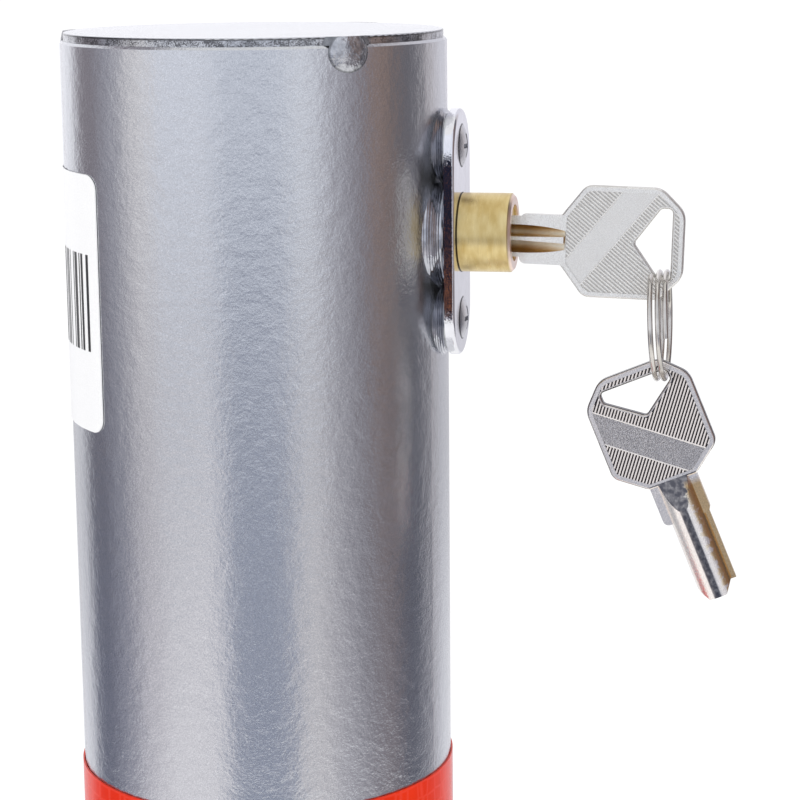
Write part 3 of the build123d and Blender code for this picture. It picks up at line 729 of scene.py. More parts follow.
@dataclass(frozen=True)
class KeyMetal:
    """Nickel plate with brass bared in the milled channel and along the blade's worn side, painted shade and grime
    in the bow's sunk field and painted highlights in the channel.
    """

    name: str
    place: KeyPlace
    nickel_deep: Colour
    nickel_light: Colour
    roughness: Span
    relief: Relief
    field_shade_and_grime: Colour
    band_dirt: float
    bared_share: float = 0.0
    facet: Colour = (0.5, 0.5, 0.5)
    brass: Colour = (0.6, 0.4, 0.17)
    brass_highlight_tone: Colour = (1.0, 0.97, 0.86)
    half_thickness: float = 1.0 * MM
    patch_scale: float = 420.0

    bow_end: float = -0.4 * MM
    field_depths: Span = (0.77 * MM, 0.87 * MM)
    speck_scale: float = 1700.0
    speck_mask: Span = (0.2, 0.7)

    channel_start: float = -0.7 * MM
    channel_run: Span = (-0.5 * MM, 8.1 * MM)
    channel_sink: Span = (2.0 * MM, 0.0)
    channel_r: Span = (2.915 * MM, 2.805 * MM)
    channel_lip: float = 0.06 * MM
    painted_highlight_outer: Span = (1.3 * MM, 2.2 * MM)
    painted_highlight_inner: Span = (0.45 * MM, 0.9 * MM)
    painted_highlight_roughness: float = 0.62

    wear_scale: float = 900.0
    wear_wander: Span = (-0.4 * MM, 1.6 * MM)
    wear_edge: Span = (2.2 * MM, 2.9 * MM)
    wear_start: Span = (0.5 * MM, 2.0 * MM)

    facet_run: Span = (-0.525 * MM, 5.8 * MM)
    facet_rise: Span = (0.0, 1.6 * MM)
    facet_reach: Span = (0.05 * MM, 0.1 * MM)
    facet_mottle: Span = (0.3, 1.0)
    facet_shares: Span = (1.0, 0.72)

    def channel(self, sketch: Sketch, axes: Axes) -> Socket:
        """Finds the milled channel's surface, inside the key's back face.

        Args:
            sketch: the material in work.
            axes: the place in the key's frame.

        Returns:
            A mask that is 1 in the channel.
        """
        along, across, depth = axes
        sink = sketch.span(along, self.channel_run, self.channel_sink)
        height = sketch.combine("ADD", sketch.combine("ADD", depth, self.half_thickness), sink)
        near = sketch.span(sketch.hypotenuse(across, height), self.channel_r)
        inside = sketch.combine("GREATER_THAN", depth, self.channel_lip - self.half_thickness)
        return sketch.product(sketch.product(near, inside),
                              sketch.combine("GREATER_THAN", along, self.channel_start))

    def darkening(self, sketch: Sketch, axes: Axes) -> Socket:
        """Finds the bow's sunk field for painted shade and grime, full between the ribs and speckled on the plain
        band.

        Args:
            sketch: the material in work.
            axes: the place in the key's frame.

        Returns:
            A mask that is 1 where the field is darkest.
        """
        along, across, depth = axes
        sunk = sketch.span(sketch.off(depth), self.field_depths, FALLING)
        bow = sketch.combine("LESS_THAN", along, self.bow_end)
        mirrored = sketch.product(across, sketch.combine("SIGN", depth))
        turned = sketch.combine("ADD", sketch.product(along, BAND_TURN.x),
                                sketch.product(mirrored, BAND_TURN.y))
        start, end = BAND_ENDS
        off_band = sketch.off(turned, (start + end) / 2)
        ribbed = sketch.combine("GREATER_THAN", off_band, (end - start) / 2)
        specks = sketch.span(sketch.specks(self.speck_scale), self.speck_mask, FALLING)
        darkest = sketch.combine("MAXIMUM", ribbed, sketch.product(specks, self.band_dirt))
        return sketch.product(sketch.product(sunk, bow), darkest)

    def worn_side(self, sketch: Sketch, axes: Axes, wear: Socket) -> Socket:
        """Finds the blade's worn side, with a ragged edge.

        Args:
            sketch: the material in work.
            axes: the place in the key's frame.
            wear: the mask of uneven patches.

        Returns:
            A mask of the bared brass.
        """
        along, across, _ = axes
        ragged = sketch.combine("ADD", across, sketch.span(wear, RISING, self.wear_wander))
        side = sketch.span(ragged, self.wear_edge, (0.0, self.bared_share))
        return sketch.product(side, sketch.span(along, self.wear_start))

    def darkened_facet(self, sketch: Sketch, axes: Axes, wear: Socket) -> Socket:
        """Finds the flat that slopes up from the bow to the blade.

        Args:
            sketch: the material in work.
            axes: the place in the key's frame.
            wear: the mask of uneven patches.

        Returns:
            A mask of the flat, mottled by the patches.
        """
        along, _, depth = axes
        rise = sketch.span(along, self.facet_run, self.facet_rise)
        slope = sketch.combine("SUBTRACT", sketch.combine("SUBTRACT", depth, self.half_thickness), rise)
        flat = sketch.span(sketch.off(slope), self.facet_reach, FALLING)
        past_bow = sketch.combine("GREATER_THAN", along, self.facet_run[0])
        mottle = sketch.span(wear, self.facet_mottle, self.facet_shares)
        return sketch.product(sketch.product(flat, past_bow), mottle)

    def painted_highlight(self, sketch: Sketch, axes: Axes) -> Socket:
        """Finds the painted highlight in the channel, two strips on both sides of its floor.

        Args:
            sketch: the material in work.
            axes: the place in the key's frame.

        Returns:
            A mask that is 1 on the two highlight strips.
        """
        off_middle = sketch.off(axes[1], 0.0)
        return sketch.product(sketch.span(off_middle, self.painted_highlight_outer, FALLING),
                              sketch.span(off_middle, self.painted_highlight_inner))

    def material(self) -> bpy.types.Material:
        """Builds the key's metal."""
        sketch = Sketch(self.name, metallic=1.0)
        axes = self.place.axes(sketch)
        grain, wear = sketch.pebbles(self.relief), sketch.patches(self.wear_scale)
        nickel = sketch.colours(grain.outputs["Mask"], self.nickel_deep, self.nickel_light)
        darkened_nickel = sketch.colours(self.darkened_facet(sketch, axes, wear), nickel, self.facet)
        # painted shade and grime: the bow's sunk field is darkened between the ribs, as if shaded there, and in
        # specks on the plain band
        shaded_and_grimed = sketch.colours(self.darkening(sketch, axes), darkened_nickel, self.field_shade_and_grime)
        painted_highlight = self.painted_highlight(sketch, axes)
        bared = sketch.combine("MAXIMUM", self.worn_side(sketch, axes, wear), self.channel(sketch, axes))
        # painted highlight: cream strips on the bared brass near the key's middle, in the channel
        brass = sketch.colours(painted_highlight, self.brass, self.brass_highlight_tone)
        sketch.feed(sketch.colours(bared, shaded_and_grimed, brass), "Base Color")
        polish = sketch.span(sketch.patches(self.patch_scale), RISING, self.roughness)
        soft_painted_highlight = sketch.product(sketch.product(painted_highlight, bared), self.painted_highlight_roughness)
        sketch.feed(sketch.combine("MAXIMUM", polish, soft_painted_highlight), "Roughness")
        sketch.bump(grain.outputs["Height"], self.relief)
        return sketch.material


@dataclass(frozen=True)
class ReflectiveFilm:
    """Glossy red-orange film with a fine honeycomb under its surface."""

    name: str = "band_film_gloss"
    deep: Colour = (0.52, 0.012, 0.001)
    light: Colour = (0.74, 0.03, 0.003)
    cell_edge: Colour = (0.79, 0.08, 0.053)
    cell_scale: float = 330.0
    cell_disorder: float = 0.15
    cell_edge_mask: Span = (0.0, 0.12)
    cell_edge_share: float = 0.35
    patch_scale: float = 30.0
    roughness: Span = (0.16, 0.26)
    ior: float = 1.2
    coat_weight: float = 0.06
    coat_roughness: float = 0.05
    relief: Relief = Relief(strength=0.2, depth=0.04 * MM)

    def material(self) -> bpy.types.Material:
        """Builds the film."""
        sketch = Sketch(self.name)
        cells = sketch.node("ShaderNodeTexVoronoi", feature="DISTANCE_TO_EDGE")
        cells.inputs["Scale"].default_value = self.cell_scale
        cells.inputs["Randomness"].default_value = self.cell_disorder
        sketch.link(sketch.object_place, cells.inputs["Vector"])
        patches = sketch.patches(self.patch_scale)
        edge = sketch.span(cells.outputs["Distance"], self.cell_edge_mask, FALLING)
        base = sketch.colours(patches, self.deep, self.light)
        honeycomb = sketch.product(edge, self.cell_edge_share)
        sketch.feed(sketch.colours(honeycomb, base, self.cell_edge), "Base Color")
        sketch.roughen(patches, self.roughness)
        sketch.fix(ior=self.ior, coat_weight=self.coat_weight, coat_roughness=self.coat_roughness)
        sketch.bump(edge, self.relief)
        return sketch.material


@dataclass(frozen=True)
class GrainedStock:
    """A plain stock with a fine grain: coated white label, the ink on it, or black nylon."""

    name: str
    deep: Colour
    light: Colour
    roughness: Span
    relief: Relief

    def material(self) -> bpy.types.Material:
        """Builds the stock."""
        sketch = Sketch(self.name)
        grain = sketch.pebbles(self.relief)
        sketch.feed(sketch.colours(grain.outputs["Mask"], self.deep, self.light), "Base Color")
        sketch.roughen(grain.outputs["Mask"], self.roughness)
        sketch.bump(grain.outputs["Height"], self.relief)
        return sketch.material


# Making and placing pieces

def dress(material: bpy.types.Material, nodes: Iterable[str]) -> None:
    """Gives CAD nodes a finish.

    Args:
        material: the finish.
        nodes: the nodes' names.
    """
    for name in nodes:
        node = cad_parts[name]
        if not node.material_slots:
            node.data.materials.append(material)
        for slot in node.material_slots:
            slot.material = material
        LOG.info("dressed %s in %s", name, material.name)


def placed_mesh(name: str, mesh: bmesh.types.BMesh) -> bpy.types.Object:
    """Puts a finished mesh into the scene.

    Args:
        name: the object's name.
        mesh: the finished mesh, freed here.

    Returns:
        The new object, at the origin.
    """
    data = bpy.data.meshes.new(name)
    mesh.to_mesh(data)
    mesh.free()
    made = bpy.data.objects.new(name, data)
    bpy.context.scene.collection.objects.link(made)
    return made


@dataclass(frozen=True)
class Piece:
    """What a finished mesh needs to become a piece of the model."""

    name: str
    body: Body
    slot: Slot
    material: bpy.types.Material
    smooth_angle: float = 35.0

    def make(self, mesh: bmesh.types.BMesh) -> bpy.types.Object:
        """Turns a mesh into a piece that rides on its body.

        Args:
            mesh: the finished mesh, freed here.

        Returns:
            The new object.
        """
        bmesh.ops.recalc_face_normals(mesh, faces=mesh.faces)
        made = placed_mesh(self.name, mesh)
        made.data.shade_smooth()
        made.data.set_sharp_from_angle(angle=radians(self.smooth_angle))
        made.data.materials.append(self.material)
        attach(made, self.body.value)
        LOG.info("made %s on %s", self.name, self.body.value)
        return made


def add_bar(mesh: bmesh.types.BMesh, start: Vector, end: Vector, radius: float, segments: int = 8) -> None:
    """Adds a round bar between two points.

    Args:
        mesh: the mesh that grows.
        start: the bar's first end.
        end: the bar's other end.
        radius: the bar's radius.
        segments: sides of the bar.
    """
    run = end - start
    turn = run.to_track_quat("Z", "Y").to_matrix().to_4x4()
    place = Matrix.Translation((start + end) / 2) @ turn
    bmesh.ops.create_cone(mesh, cap_ends=True, segments=segments, radius1=radius, radius2=radius,
                          depth=run.length, matrix=place)


# Sub-assemblies

@dataclass
class KeyRelief:
    """Fine ribs and the plain diagonal band on both faces of a key's bow.

    The outline and the hole are corners on the positive side of the bow, in millimetres.
    """

    place: KeyPlace
    body: Body
    name: str
    pitch: float = 0.62 * MM
    rib_r: float = 0.22 * MM
    rib_reach: float = 22 * MM
    floor: float = 0.77 * MM
    rim: float = 1.05 * MM
    hole_border: float = 0.45 * MM
    band_line_r: float = 0.16 * MM
    outline: Outline = ((0.0, 4.9), (-4.6, 10.9), (-19.2, 10.9), (-23.9, 6.3))
    hole: Outline = ((-14.2, 0.0), (-19.3, 7.0), (-21.5, 7.0))

    @staticmethod
    def loop(half: Outline, inset: float) -> list[Vector]:
        """Mirrors half an outline across the key's length, closes it and moves its sides in.

        Args:
            half: corners on the positive side, in millimetres.
            inset: how far each side moves to the middle, or out if it is negative, in metres.

        Returns:
            All corners in order, in metres.
        """
        corners = [Vector(corner) * MM for corner in (*half, *((x, -y) for x, y in reversed(half) if y))]
        moved = []
        for before, corner, after in zip((corners[-1], *corners), corners, (*corners[1:], corners[0])):
            ways = ((corner - before).normalized(), (after - corner).normalized())
            inward = [Vector((-way.y, way.x)) for way in ways]
            half_turn = ways[0].angle(ways[1]) / 2
            moved.append(corner + (inward[0] + inward[1]).normalized() * inset / cos(half_turn))
        return moved

    @staticmethod
    def crossings(loop: Sequence[Vector], origin: Vector, way: Vector) -> list[float]:
        """Finds where a line meets a closed outline.

        Args:
            loop: the outline's corners.
            origin: a point on the line.
            way: the line's unit direction.

        Returns:
            Distances along the line, in order.
        """
        side = Vector((-way.y, way.x))
        found = []
        for start, end in zip(loop, (*loop[1:], loop[0])):
            before, after = (start - origin).dot(side), (end - origin).dot(side)
            if (before < 0) != (after < 0):
                found.append((start.lerp(end, before / (before - after)) - origin).dot(way))
        return sorted(found)

    def stretches(self, origin: Vector, way: Vector, bars: Sequence[Span]) -> list[Span]:
        """Lists where a line runs over the sunk field of the bow.

        Args:
            origin: a point on the line.
            way: the line's unit direction.
            bars: distances along the line between which nothing is raised.

        Returns:
            Start and end distances along the line.
        """
        edges = self.crossings(self.loop(self.outline, self.rim), origin, way)
        if len(edges) < 2:
            return []
        gap = self.crossings(self.loop(self.hole, -self.hole_border), origin, way)
        blocks = sorted([*bars, *([tuple(gap)] if len(gap) == 2 else [])])
        free, start = [], edges[0]
        for low, high in blocks:
            free.append((start, min(low, edges[1])))
            start = max(start, high)
        free.append((start, edges[1]))
        return [(low, high) for low, high in free if high - low > self.pitch / 2]

    def to_model(self, side: KeySide, point: Vector) -> Vector:
        """Places a point of one face.

        Args:
            side: the face.
            point: the place on it, to the tip and to the right of one who holds the key tip down.

        Returns:
            The point in the model.
        """
        return self.place.matrix() @ Vector((point.x, point.y * side.value, self.floor * side.value))

    def build(self, material: bpy.types.Material) -> bpy.types.Object:
        """Makes the ribs and band lines of both faces.

        Args:
            material: the key's metal.

        Returns:
            The piece.
        """
        mesh = bmesh.new()
        along = Vector((-BAND_TURN.y, BAND_TURN.x))
        lines = [(along * (-self.rib_reach + (index + 0.5) * self.pitch), BAND_TURN, self.rib_r, [BAND_ENDS])
                 for index in range(int(2 * self.rib_reach / self.pitch))]
        lines += [(BAND_TURN * distance, along, self.band_line_r, []) for distance in BAND_ENDS]
        for side in KeySide:
            for origin, way, radius, bars in lines:
                for ends in self.stretches(origin, way, bars):
                    add_bar(mesh, *(self.to_model(side, origin + way * distance) for distance in ends), radius)
        return Piece(self.name, self.body, Slot.NICKEL, material).make(mesh)


@dataclass
class Keys:
    """The key in the lock, the spare key and the split ring."""

    neck_x: float = 61.0 * MM
    middle_y: float = -0.8 * MM
    drop: float = 1.14 * MM
    droop: float = 1.8
    spare_neck_x: float = 83.412 * MM
    spare_neck_z: float = 662.019 * MM
    spare_lean: float = 22.3

    def in_lock(self) -> KeyPlace:
        """Gives the place of the key in the lock."""
        droop = radians(self.droop)
        neck = Vector((self.neck_x, self.middle_y, LOCK_Z - self.drop))
        return KeyPlace(neck, to_tip=Vector((-cos(droop), 0, sin(droop))), front=Vector((0, 1, 0)))

    def spare(self) -> KeyPlace:
        """Gives the place of the spare key."""
        lean = radians(self.spare_lean)
        neck = Vector((self.spare_neck_x, self.middle_y, self.spare_neck_z))
        return KeyPlace(neck, to_tip=Vector((sin(lean), 0, -cos(lean))), front=Vector((0, -1, 0)))

    def build(self) -> None:
        """Dresses the keys and the ring and adds the keys' relief."""
        frosted = KeyMetal(
            name="key_frosted_nickel", place=self.in_lock(),
            nickel_deep=(0.66, 0.635, 0.6), nickel_light=(1.0, 1.0, 0.97), field_shade_and_grime=(0.64, 0.62, 0.585),
            roughness=(0.34, 0.46), relief=Relief(strength=0.6, depth=0.2 * MM, scale=2000.0, grain=0.5),
            band_dirt=0.5)
        shiny = KeyMetal(
            name="spare_key_nickel", place=self.spare(),
            nickel_deep=(0.66, 0.62, 0.6), nickel_light=(1.0, 0.95, 0.9), field_shade_and_grime=(0.05, 0.044, 0.046),
            roughness=(0.1, 0.2), relief=Relief(strength=0.6, depth=0.08 * MM, scale=2000.0, grain=0.5),
            band_dirt=0.85, bared_share=0.85, facet=(0.1, 0.1, 0.115))
        for metal, node, body in ((frosted, "key_in_lock", Body.PLUG), (shiny, "spare_key", Body.SPARE)):
            finish = metal.material()
            dress(finish, [node])
            KeyRelief(metal.place, body, f"{node}_ribs").build(finish)
        wire = PlatedSteel(
            name="ring_nickel", deep=(0.42, 0.4, 0.37), light=(0.72, 0.69, 0.65), roughness=(0.1, 0.18))
        dress(wire.material(), ["split_ring"])


@dataclass
class Sticker:
    """White sticker with plain upright bars.

    The bars' widths are degrees round the tube, and the gap after each is the width some places further on.
    """

    ink_r: float = 38.27 * MM
    bars_z: Span = (689.8 * MM, 708.6 * MM)
    azimuths: Span = (-94.0, -44.2)
    widths: tuple[float, ...] = (1.4, 0.7, 0.7, 2.1, 0.7, 1.4, 2.8, 0.7, 1.4, 0.7, 2.1, 1.4)
    gap_shift: int = 5
    bar_steps: int = 2
    grain: Relief = Relief(strength=0.15, depth=0.04 * MM, scale=900.0, grain=0.5)
    roughness: Span = (0.3, 0.42)

    def bar(self, mesh: bmesh.types.BMesh, azimuth: float, width: float) -> None:
        """Adds one bar that follows the tube.

        Args:
            mesh: the mesh that grows.
            azimuth: where the bar starts, in degrees.
            width: how wide it is, in degrees.
        """
        turn = radians(azimuth)
        ends = [mesh.verts.new((self.ink_r * sin(turn), -self.ink_r * cos(turn), height)) for height in self.bars_z]
        edge = mesh.edges.new(ends)
        bmesh.ops.spin(mesh, geom=[*ends, edge], cent=(0, 0, 0), axis=(0, 0, 1), angle=radians(width),
                       steps=self.bar_steps, use_merge=False)

    def stock(self, name: str, deep: Colour, light: Colour) -> bpy.types.Material:
        """Builds the label stock or the ink on it."""
        return GrainedStock(name, deep, light, self.roughness, self.grain).material()

    def build(self) -> None:
        """Dresses the sticker and prints its bars."""
        dress(self.stock("sticker_white", deep=(0.8, 0.8, 0.81), light=(0.86, 0.86, 0.87)), ["label"])
        mesh = bmesh.new()
        (azimuth, end), index = self.azimuths, 0
        while azimuth < end:
            width = self.widths[index % len(self.widths)]
            self.bar(mesh, azimuth, min(width, end - azimuth))
            azimuth += width + self.widths[(index + self.gap_shift) % len(self.widths)]
            index += 1
        ink = self.stock("sticker_ink", deep=(0.01, 0.01, 0.011), light=(0.02, 0.02, 0.022))
        Piece("label_bars", Body.POST, Slot.STICKER, ink).make(mesh)


@dataclass(frozen=True)
class SpunSeat:
    """Flared and rippled weld seat of the lock, turned about its own axis.

    The flare and the plain rest of the outline are radii and X positions, in millimetres, and so are the
    ripples. The level is the axis's height in metres.
    """

    node: str
    level: float
    flare: Outline
    rest: Outline
    ripple: float = 0.07
    ripple_length: float = 0.62
    parts: int = 8
    steps: int = 72

    def rippled(self) -> list[tuple[float, float]]:
        """Divides the flare and raises ripples on it.

        Returns:
            Radii and X positions, in millimetres.
        """
        points, run = [], 0.0
        for start, end in zip(self.flare, self.flare[1:]):
            first, last = Vector(start), Vector(end)
            for part in range(self.parts):
                radius, x = first.lerp(last, part / self.parts)
                points.append((radius, x + self.ripple * sin(2 * pi * run / self.ripple_length)))
                run += (last - first).length / self.parts
        return points

    def build(self, material: bpy.types.Material) -> None:
        """Turns the outline.

        Args:
            material: the seat's finish.
        """
        mesh = bmesh.new()
        outline = [*self.rippled(), *self.rest]
        ring = [mesh.verts.new((x * MM, 0, self.level + radius * MM)) for radius, x in outline]
        edges = [mesh.edges.new(pair) for pair in zip(ring, (*ring[1:], ring[0]))]
        bmesh.ops.spin(mesh, geom=[*ring, *edges], cent=(0, 0, self.level), axis=(1, 0, 0), angle=2 * pi,
                       steps=self.steps, use_merge=True)
        bmesh.ops.remove_doubles(mesh, verts=mesh.verts, dist=MERGE_REACH)
        made = Piece(f"{self.node}_turned", Body.POST, Slot.PAINT, material).make(mesh)
        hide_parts(self.node)


@dataclass
class Post:
    """Painted tube with its lid, lock seats and reflective band.

    The outlines of the lock's seats are radii and X positions, in millimetres.
    """

    painted: tuple[str, ...] = ("post_tube", "tube_foot_disc", "base_plate", "hinge_ear_left", "hinge_ear_right")
    collar_flare: Outline = (
        (13.2, 35.6), (12.7, 36.6), (11.9, 37.3), (11.2, 37.75), (10.65, 38.05), (10.2, 38.5), (9.98, 39.05))
    collar_rest: Outline = ((9.93, 39.15), (9.75, 39.33), (9.3, 39.33), (9.3, 33.0), (9.95, 33.0), (9.95, 35.6))
    boss_flare: Outline = ((9.8, 36.3), (9.2, 36.95), (8.4, 37.45), (7.7, 37.85), (7.2, 38.05), (6.95, 38.35))
    boss_rest: Outline = ((6.8, 38.52), (2.2, 38.52), (2.2, 33.0), (6.9, 33.0), (6.9, 36.3))
    sticker: Sticker = field(default_factory=Sticker)

    def build(self) -> None:
        """Dresses the post."""
        dress(SilverPaint().material(), self.painted)
        dress(LidPaint().material(), ["top_cap"])
        bead = WeldMetal(
            name="weld_rough", deep=(0.33, 0.335, 0.36), light=(0.6, 0.61, 0.64), roughness=(0.16, 0.3),
            relief=Relief(strength=0.9, depth=0.5 * MM, scale=500.0, grain=0.25), contact_shade_r=(38.1 * MM, 38.22 * MM))
        dress(bead.material(), ["cap_weld_beads", "ear_welds"])
        seat = WeldMetal(
            name="seat_flared", deep=(0.34, 0.35, 0.39), light=(0.6, 0.61, 0.65), roughness=(0.07, 0.16),
            relief=Relief(strength=0.9, depth=0.2 * MM, scale=260.0, grain=0.25), contact_shade_r=(36.0 * MM, 36.1 * MM))
        self.seats(seat.material())
        dress(ReflectiveFilm().material(), ["reflective_band"])
        self.sticker.build()

    def seats(self, material: bpy.types.Material) -> None:
        """Turns the flared seats of the lock and its two screws.

        Args:
            material: the seats' finish.
        """
        boss = (self.boss_flare, self.boss_rest)
        SpunSeat("lock_collar", LOCK_Z, self.collar_flare, self.collar_rest).build(material)
        SpunSeat("lock_boss_upper", LOCK_Z + SCREW_OFFSET, *boss).build(material)
        SpunSeat("lock_boss_lower", LOCK_Z - SCREW_OFFSET, *boss).build(material)


@dataclass(frozen=True)
class ReturnSpring:
    """Coil behind the lock's cylinder, which shortens as the cylinder is pushed in."""

    node: str = "lock_spring"
    joint: str = "lock_push"
    travel: float = 10.4 * MM

    def build(self, material: bpy.types.Material) -> None:
        """Copies the coil's form into a piece that rides on the post.

        Args:
            material: the coil's finish.
        """
        mesh = bmesh.new()
        mesh.from_mesh(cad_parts[self.node].data)
        bmesh.ops.remove_doubles(mesh, verts=mesh.verts, dist=MERGE_REACH)
        low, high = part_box(self.node)
        made = Piece("lock_spring_coil", Body.POST, Slot.SPRING, material).make(mesh)
        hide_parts(self.node)
        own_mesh(made)


@dataclass
class Lock:
    """Chromed housing with its screws, and the brass cylinder and plug."""

    screws: tuple[str, ...] = ("lock_screw_upper", "lock_screw_lower")
    brass: tuple[str, ...] = ("lock_cylinder", "lock_plug", "key_pins", "driver_pins", "plug_retainer")
    steel: tuple[str, ...] = ("lock_washers", "lock_back_plate", "lock_bolt", "driver_springs")

    def build(self) -> None:
        """Dresses the lock."""
        dress(LockChrome().material(), ["lock_housing"])
        screw = ScrewZinc(
            name="screw_zinc", deep=(0.5, 0.5, 0.52), light=(0.8, 0.8, 0.82), roughness=(0.16, 0.28),
            relief=Relief(strength=0.4, depth=0.12 * MM, scale=1500.0, grain=0.4))
        dress(screw.material(), self.screws)
        dress(TurnedBrass().material(), self.brass)
        steel = PlatedSteel(
            name="lock_steel", deep=(0.5, 0.51, 0.53), light=(0.68, 0.69, 0.71), roughness=(0.14, 0.26)).material()
        dress(steel, self.steel)
        ReturnSpring().build(steel)


@dataclass
class Core:
    """Hinge hardware and the flat bar inside the tube."""

    zinc: tuple[str, ...] = ("hinge_bolt", "hinge_nut", "hinge_washers", "core_bar", "guide_pins", "lift_stop_pin")

    def build(self) -> None:
        """Dresses the bar and the hinge hardware."""
        plated = PlatedSteel(
            name="zinc_plate", deep=(0.48, 0.49, 0.51), light=(0.66, 0.67, 0.70), roughness=(0.24, 0.4),
            relief=Relief(strength=0.4, depth=0.03 * MM, scale=900.0, grain=0.4))
        dress(plated.material(), self.zinc)
        nylon = GrainedStock(
            name="guide_plastic_black", deep=(0.012, 0.012, 0.013), light=(0.03, 0.03, 0.032), roughness=(0.42, 0.6),
            relief=Relief(strength=0.3, depth=0.08 * MM, scale=1400.0, grain=0.4))
        dress(nylon.material(), ["core_guide"])


# Studio

@dataclass(frozen=True)
class Softbox:
    """A large soft lamp that faces the post."""

    name: str
    azimuth: float
    distance: float
    height: float
    width: float
    tall: float
    power: float
    highest_aim: float = 0.55

    def build(self) -> None:
        """Places the lamp."""
        lamp = bpy.data.lights.new(self.name, "AREA")
        lamp.shape = "RECTANGLE"
        lamp.size, lamp.size_y, lamp.energy = self.width, self.tall, self.power
        holder = bpy.data.objects.new(self.name, lamp)
        turn = radians(self.azimuth)
        holder.location = (self.distance * sin(turn), -self.distance * cos(turn), self.height)
        aim = Vector((0, 0, min(self.height, self.highest_aim))) - holder.location
        holder.rotation_euler = aim.to_track_quat("-Z", "Y").to_euler()
        holder.visible_camera = holder.visible_glossy = False
        bpy.context.scene.collection.objects.link(holder)


@dataclass(frozen=True)
class Card:
    """An upright card of the screen round the post, with a tone near the ground and one higher up."""

    start: float
    end: float
    low: Colour
    high: Colour


@dataclass(frozen=True)
class Surround:
    """A round screen of bright and dark cards, blended between them, that only glossy surfaces see."""

    radius: float = 1.2
    tall: float = 3.0
    sides: int = 96
    fade_z: Span = (0.3, 0.6)
    belt_z: Triple = (0.2, 0.42, 0.64)
    belt_tone: float = 0.74
    ground_z: Span = (0.0, 0.09)
    ground_tone: Colour = (0.93, 0.93, 0.95)
    hidden_rays: tuple[str, ...] = ("camera", "diffuse", "shadow", "transmission", "volume_scatter")
    cards: tuple[Card, ...] = (
        Card(-180.0, -124.0, (0.9, 0.9, 0.95), (1.1, 1.1, 1.15)),
        Card(-110.0, -94.0, (0.18, 0.19, 0.26), (0.28, 0.25, 0.28)),
        Card(-84.0, -80.0, (0.38, 0.38, 0.46), (0.42, 0.42, 0.48)),
        Card(-58.0, -52.0, (0.9, 0.86, 0.9), (1.03, 1.0, 1.0)),
        Card(-46.0, -12.0, (1.12, 1.08, 1.1), (1.02, 1.05, 1.13)),
        Card(-6.0, 29.0, (0.36, 0.4, 0.52), (0.87, 0.91, 1.0)),
        Card(35.0, 45.0, (0.92, 0.88, 0.88), (1.0, 1.03, 1.1)),
        Card(62.0, 66.0, (0.6, 0.58, 0.62), (0.5, 0.49, 0.54)),
        Card(76.0, 80.0, (0.4, 0.38, 0.42), (0.27, 0.25, 0.29)),
        Card(87.0, 91.0, (0.32, 0.29, 0.32), (0.36, 0.24, 0.19)),
        Card(97.0, 101.0, (0.26, 0.22, 0.24), (0.25, 0.18, 0.16)),
        Card(107.0, 122.0, (0.14, 0.145, 0.19), (0.15, 0.145, 0.17)),
        Card(139.0, 142.0, (0.68, 0.66, 0.7), (0.72, 0.68, 0.7)),
        Card(154.0, 180.0, (0.9, 0.9, 0.95), (0.84, 0.83, 0.9)),
    )

    def bands(self, sketch: Sketch, turn: Socket, level: str) -> Socket:
        """Adds one ramp of the cards.

        Args:
            sketch: the screen's material.
            turn: the direction, from 0 to 1.
            level: which tone of each card is shown, low or high.

        Returns:
            The ramp's colour.
        """
        ramp = sketch.node("ShaderNodeValToRGB")
        ramp.color_ramp.interpolation = "EASE"
        stops = ramp.color_ramp.elements
        while len(stops) < 2 * len(self.cards):
            stops.new(0.5)
        edges = [(angle, getattr(card, level)) for card in self.cards for angle in (card.start, card.end)]
        for stop, (angle, colour) in zip(stops, edges):
            stop.position = (angle + 180) / 360
            stop.color = rgba(colour)
        sketch.link(turn, ramp.inputs["Fac"])
        return ramp.outputs["Color"]

    def material(self) -> bpy.types.Material:
        """Builds the screen's glow."""
        sketch = Sketch("surround_glow")
        sketch.tree.nodes.remove(sketch.bsdf)
        x, y, height = sketch.axes()
        turn = sketch.span(sketch.combine("ARCTAN2", x, sketch.product(y, -1.0)), (-pi, pi))
        low, high = (self.bands(sketch, turn, level) for level in ("low", "high"))
        upright = sketch.colours(sketch.span(height, self.fade_z), low, high)
        by_ground = sketch.span(height, self.ground_z, FALLING)
        below, middle, above = self.belt_z
        dim = sketch.combine("MAXIMUM", sketch.span(height, (below, middle), (1.0, self.belt_tone)),
                             sketch.span(height, (middle, above), (self.belt_tone, 1.0)))
        glow = sketch.node("ShaderNodeEmission")
        sketch.link(sketch.colours(by_ground, upright, self.ground_tone), glow.inputs["Color"])
        sketch.link(dim, glow.inputs["Strength"])
        sketch.surface(glow.outputs[0])
        return sketch.material

    def build(self) -> None:
        """Stands the screen round the post."""
        mesh = bmesh.new()
        bmesh.ops.create_cone(mesh, cap_ends=False, segments=self.sides, radius1=self.radius, radius2=self.radius,
                              depth=self.tall, matrix=Matrix.Translation((0, 0, self.tall / 2)))
        screen = placed_mesh("surround", mesh)
        screen.data.materials.append(self.material())
        for ray in self.hidden_rays:
            setattr(screen, f"visible_{ray}", False)


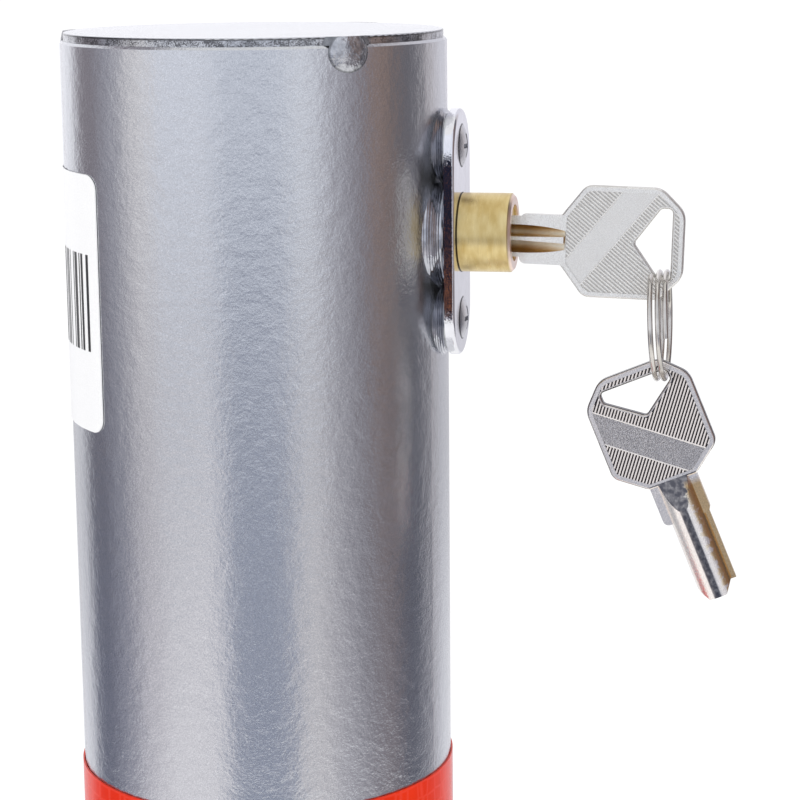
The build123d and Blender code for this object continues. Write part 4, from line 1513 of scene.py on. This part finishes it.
@dataclass
class Studio:
    """Pale floor, white surroundings, soft lamps and a banded screen."""

    floor_half: float = 30.0
    floor_white: Colour = (0.9, 0.9, 0.9)
    floor_tone: float = 0.985
    floor_patch_scale: float = 3.0
    floor_roughness: float = 0.9
    floor_glow: float = 1.2
    floor_glow_share: float = 0.62
    world_light: Span = (0.9, 1.0)
    softboxes: tuple[Softbox, ...] = (
        Softbox("softbox_left", azimuth=-52.0, distance=1.3, height=0.75, width=0.9, tall=1.7, power=6.0),
        Softbox("softbox_right", azimuth=62.0, distance=1.3, height=0.75, width=0.8, tall=1.7, power=4.0),
        Softbox("softbox_top", azimuth=10.0, distance=0.5, height=1.9, width=1.2, tall=1.2, power=5.0),
    )
    surround: Surround = field(default_factory=Surround)

    def world(self) -> None:
        """Lights the surroundings evenly and shows them white."""
        world = bpy.data.worlds.new("studio_white")
        bpy.context.scene.world = world
        world.use_nodes = True
        nodes, links = world.node_tree.nodes, world.node_tree.links
        back = nodes["Background"]
        path = nodes.new("ShaderNodeLightPath")
        seen = nodes.new("ShaderNodeMath")
        seen.operation = "MAXIMUM"
        links.new(path.outputs["Is Camera Ray"], seen.inputs[0])
        links.new(path.outputs["Is Glossy Ray"], seen.inputs[1])
        strength = nodes.new("ShaderNodeMapRange")
        strength.inputs["To Min"].default_value, strength.inputs["To Max"].default_value = self.world_light
        links.new(seen.outputs[0], strength.inputs["Value"])
        links.new(strength.outputs[0], back.inputs["Strength"])
        back.inputs["Color"].default_value = (1, 1, 1, 1)

    def floor_material(self) -> bpy.types.Material:
        """Builds the floor's pale surface, which glows a little to the camera and to glossy surfaces."""
        sketch = Sketch("floor_pale")
        patches = sketch.patches(self.floor_patch_scale)
        pale = sketch.colours(patches, self.floor_white, toned(self.floor_white, self.floor_tone))
        sketch.feed(pale, "Base Color")
        sketch.fix(roughness=self.floor_roughness)
        path = sketch.node("ShaderNodeLightPath")
        seen = sketch.combine("MAXIMUM", path.outputs["Is Camera Ray"], path.outputs["Is Glossy Ray"])
        glow = sketch.node("ShaderNodeEmission")
        glow.inputs["Strength"].default_value = self.floor_glow
        mix = sketch.node("ShaderNodeMixShader")
        sketch.link(sketch.product(seen, self.floor_glow_share), mix.inputs["Fac"])
        sketch.link(sketch.bsdf.outputs[0], mix.inputs[1])
        sketch.link(glow.outputs[0], mix.inputs[2])
        sketch.surface(mix.outputs[0])
        return sketch.material

    def floor(self) -> None:
        """Lays the pale floor, white to the camera but for the object's shadow."""
        mesh = bmesh.new()
        bmesh.ops.create_grid(mesh, x_segments=1, y_segments=1, size=self.floor_half)
        ground = placed_mesh("floor", mesh)
        ground.data.materials.append(self.floor_material())

    def build(self) -> None:
        """Sets up the whole studio."""
        self.world()
        self.floor()
        for fitting in (*self.softboxes, self.surround):
            fitting.build()
        bpy.context.scene.view_settings.view_transform = "Standard"


@dataclass
class PhotoCamera:
    """The camera at the photograph's viewpoint, with its place in metres and its turns in degrees."""

    place: Triple = (115.897 * MM, -459.141 * MM, 769.996 * MM)
    heading: float = -10.770
    pitch: float = 11.3095
    roll: float = -0.52466
    lens: float = 107.02
    sensor: float = 36.0
    clip: Span = (0.01, 100.0)

    def build(self) -> None:
        """Places the camera."""
        data = bpy.data.cameras.new("photo_camera")
        data.lens, data.sensor_width, data.sensor_fit = self.lens, self.sensor, "HORIZONTAL"
        data.clip_start, data.clip_end = self.clip
        holder = bpy.data.objects.new("photo_camera", data)
        heading, pitch = radians(self.heading), radians(self.pitch)
        forward = Vector((sin(heading) * cos(pitch), cos(heading) * cos(pitch), -sin(pitch)))
        right = Vector((cos(heading), -sin(heading), 0))
        lift = right.cross(forward)
        turn = Matrix.Rotation(radians(self.roll), 3, -forward)
        axes = Matrix((turn @ right, turn @ lift, -forward)).transposed()
        holder.matrix_world = Matrix.Translation(self.place) @ axes.to_4x4()
        bpy.context.scene.collection.objects.link(holder)
        bpy.context.scene.camera = holder


def main() -> None:
    """Builds the whole scene in order."""
    logging.basicConfig(level=logging.INFO, format="%(name)s: %(message)s")
    for part in (PhotoCamera(), Studio(), Post(), Lock(), Core(), Keys()):
        part.build()


if __name__ == "__main__":
    main()
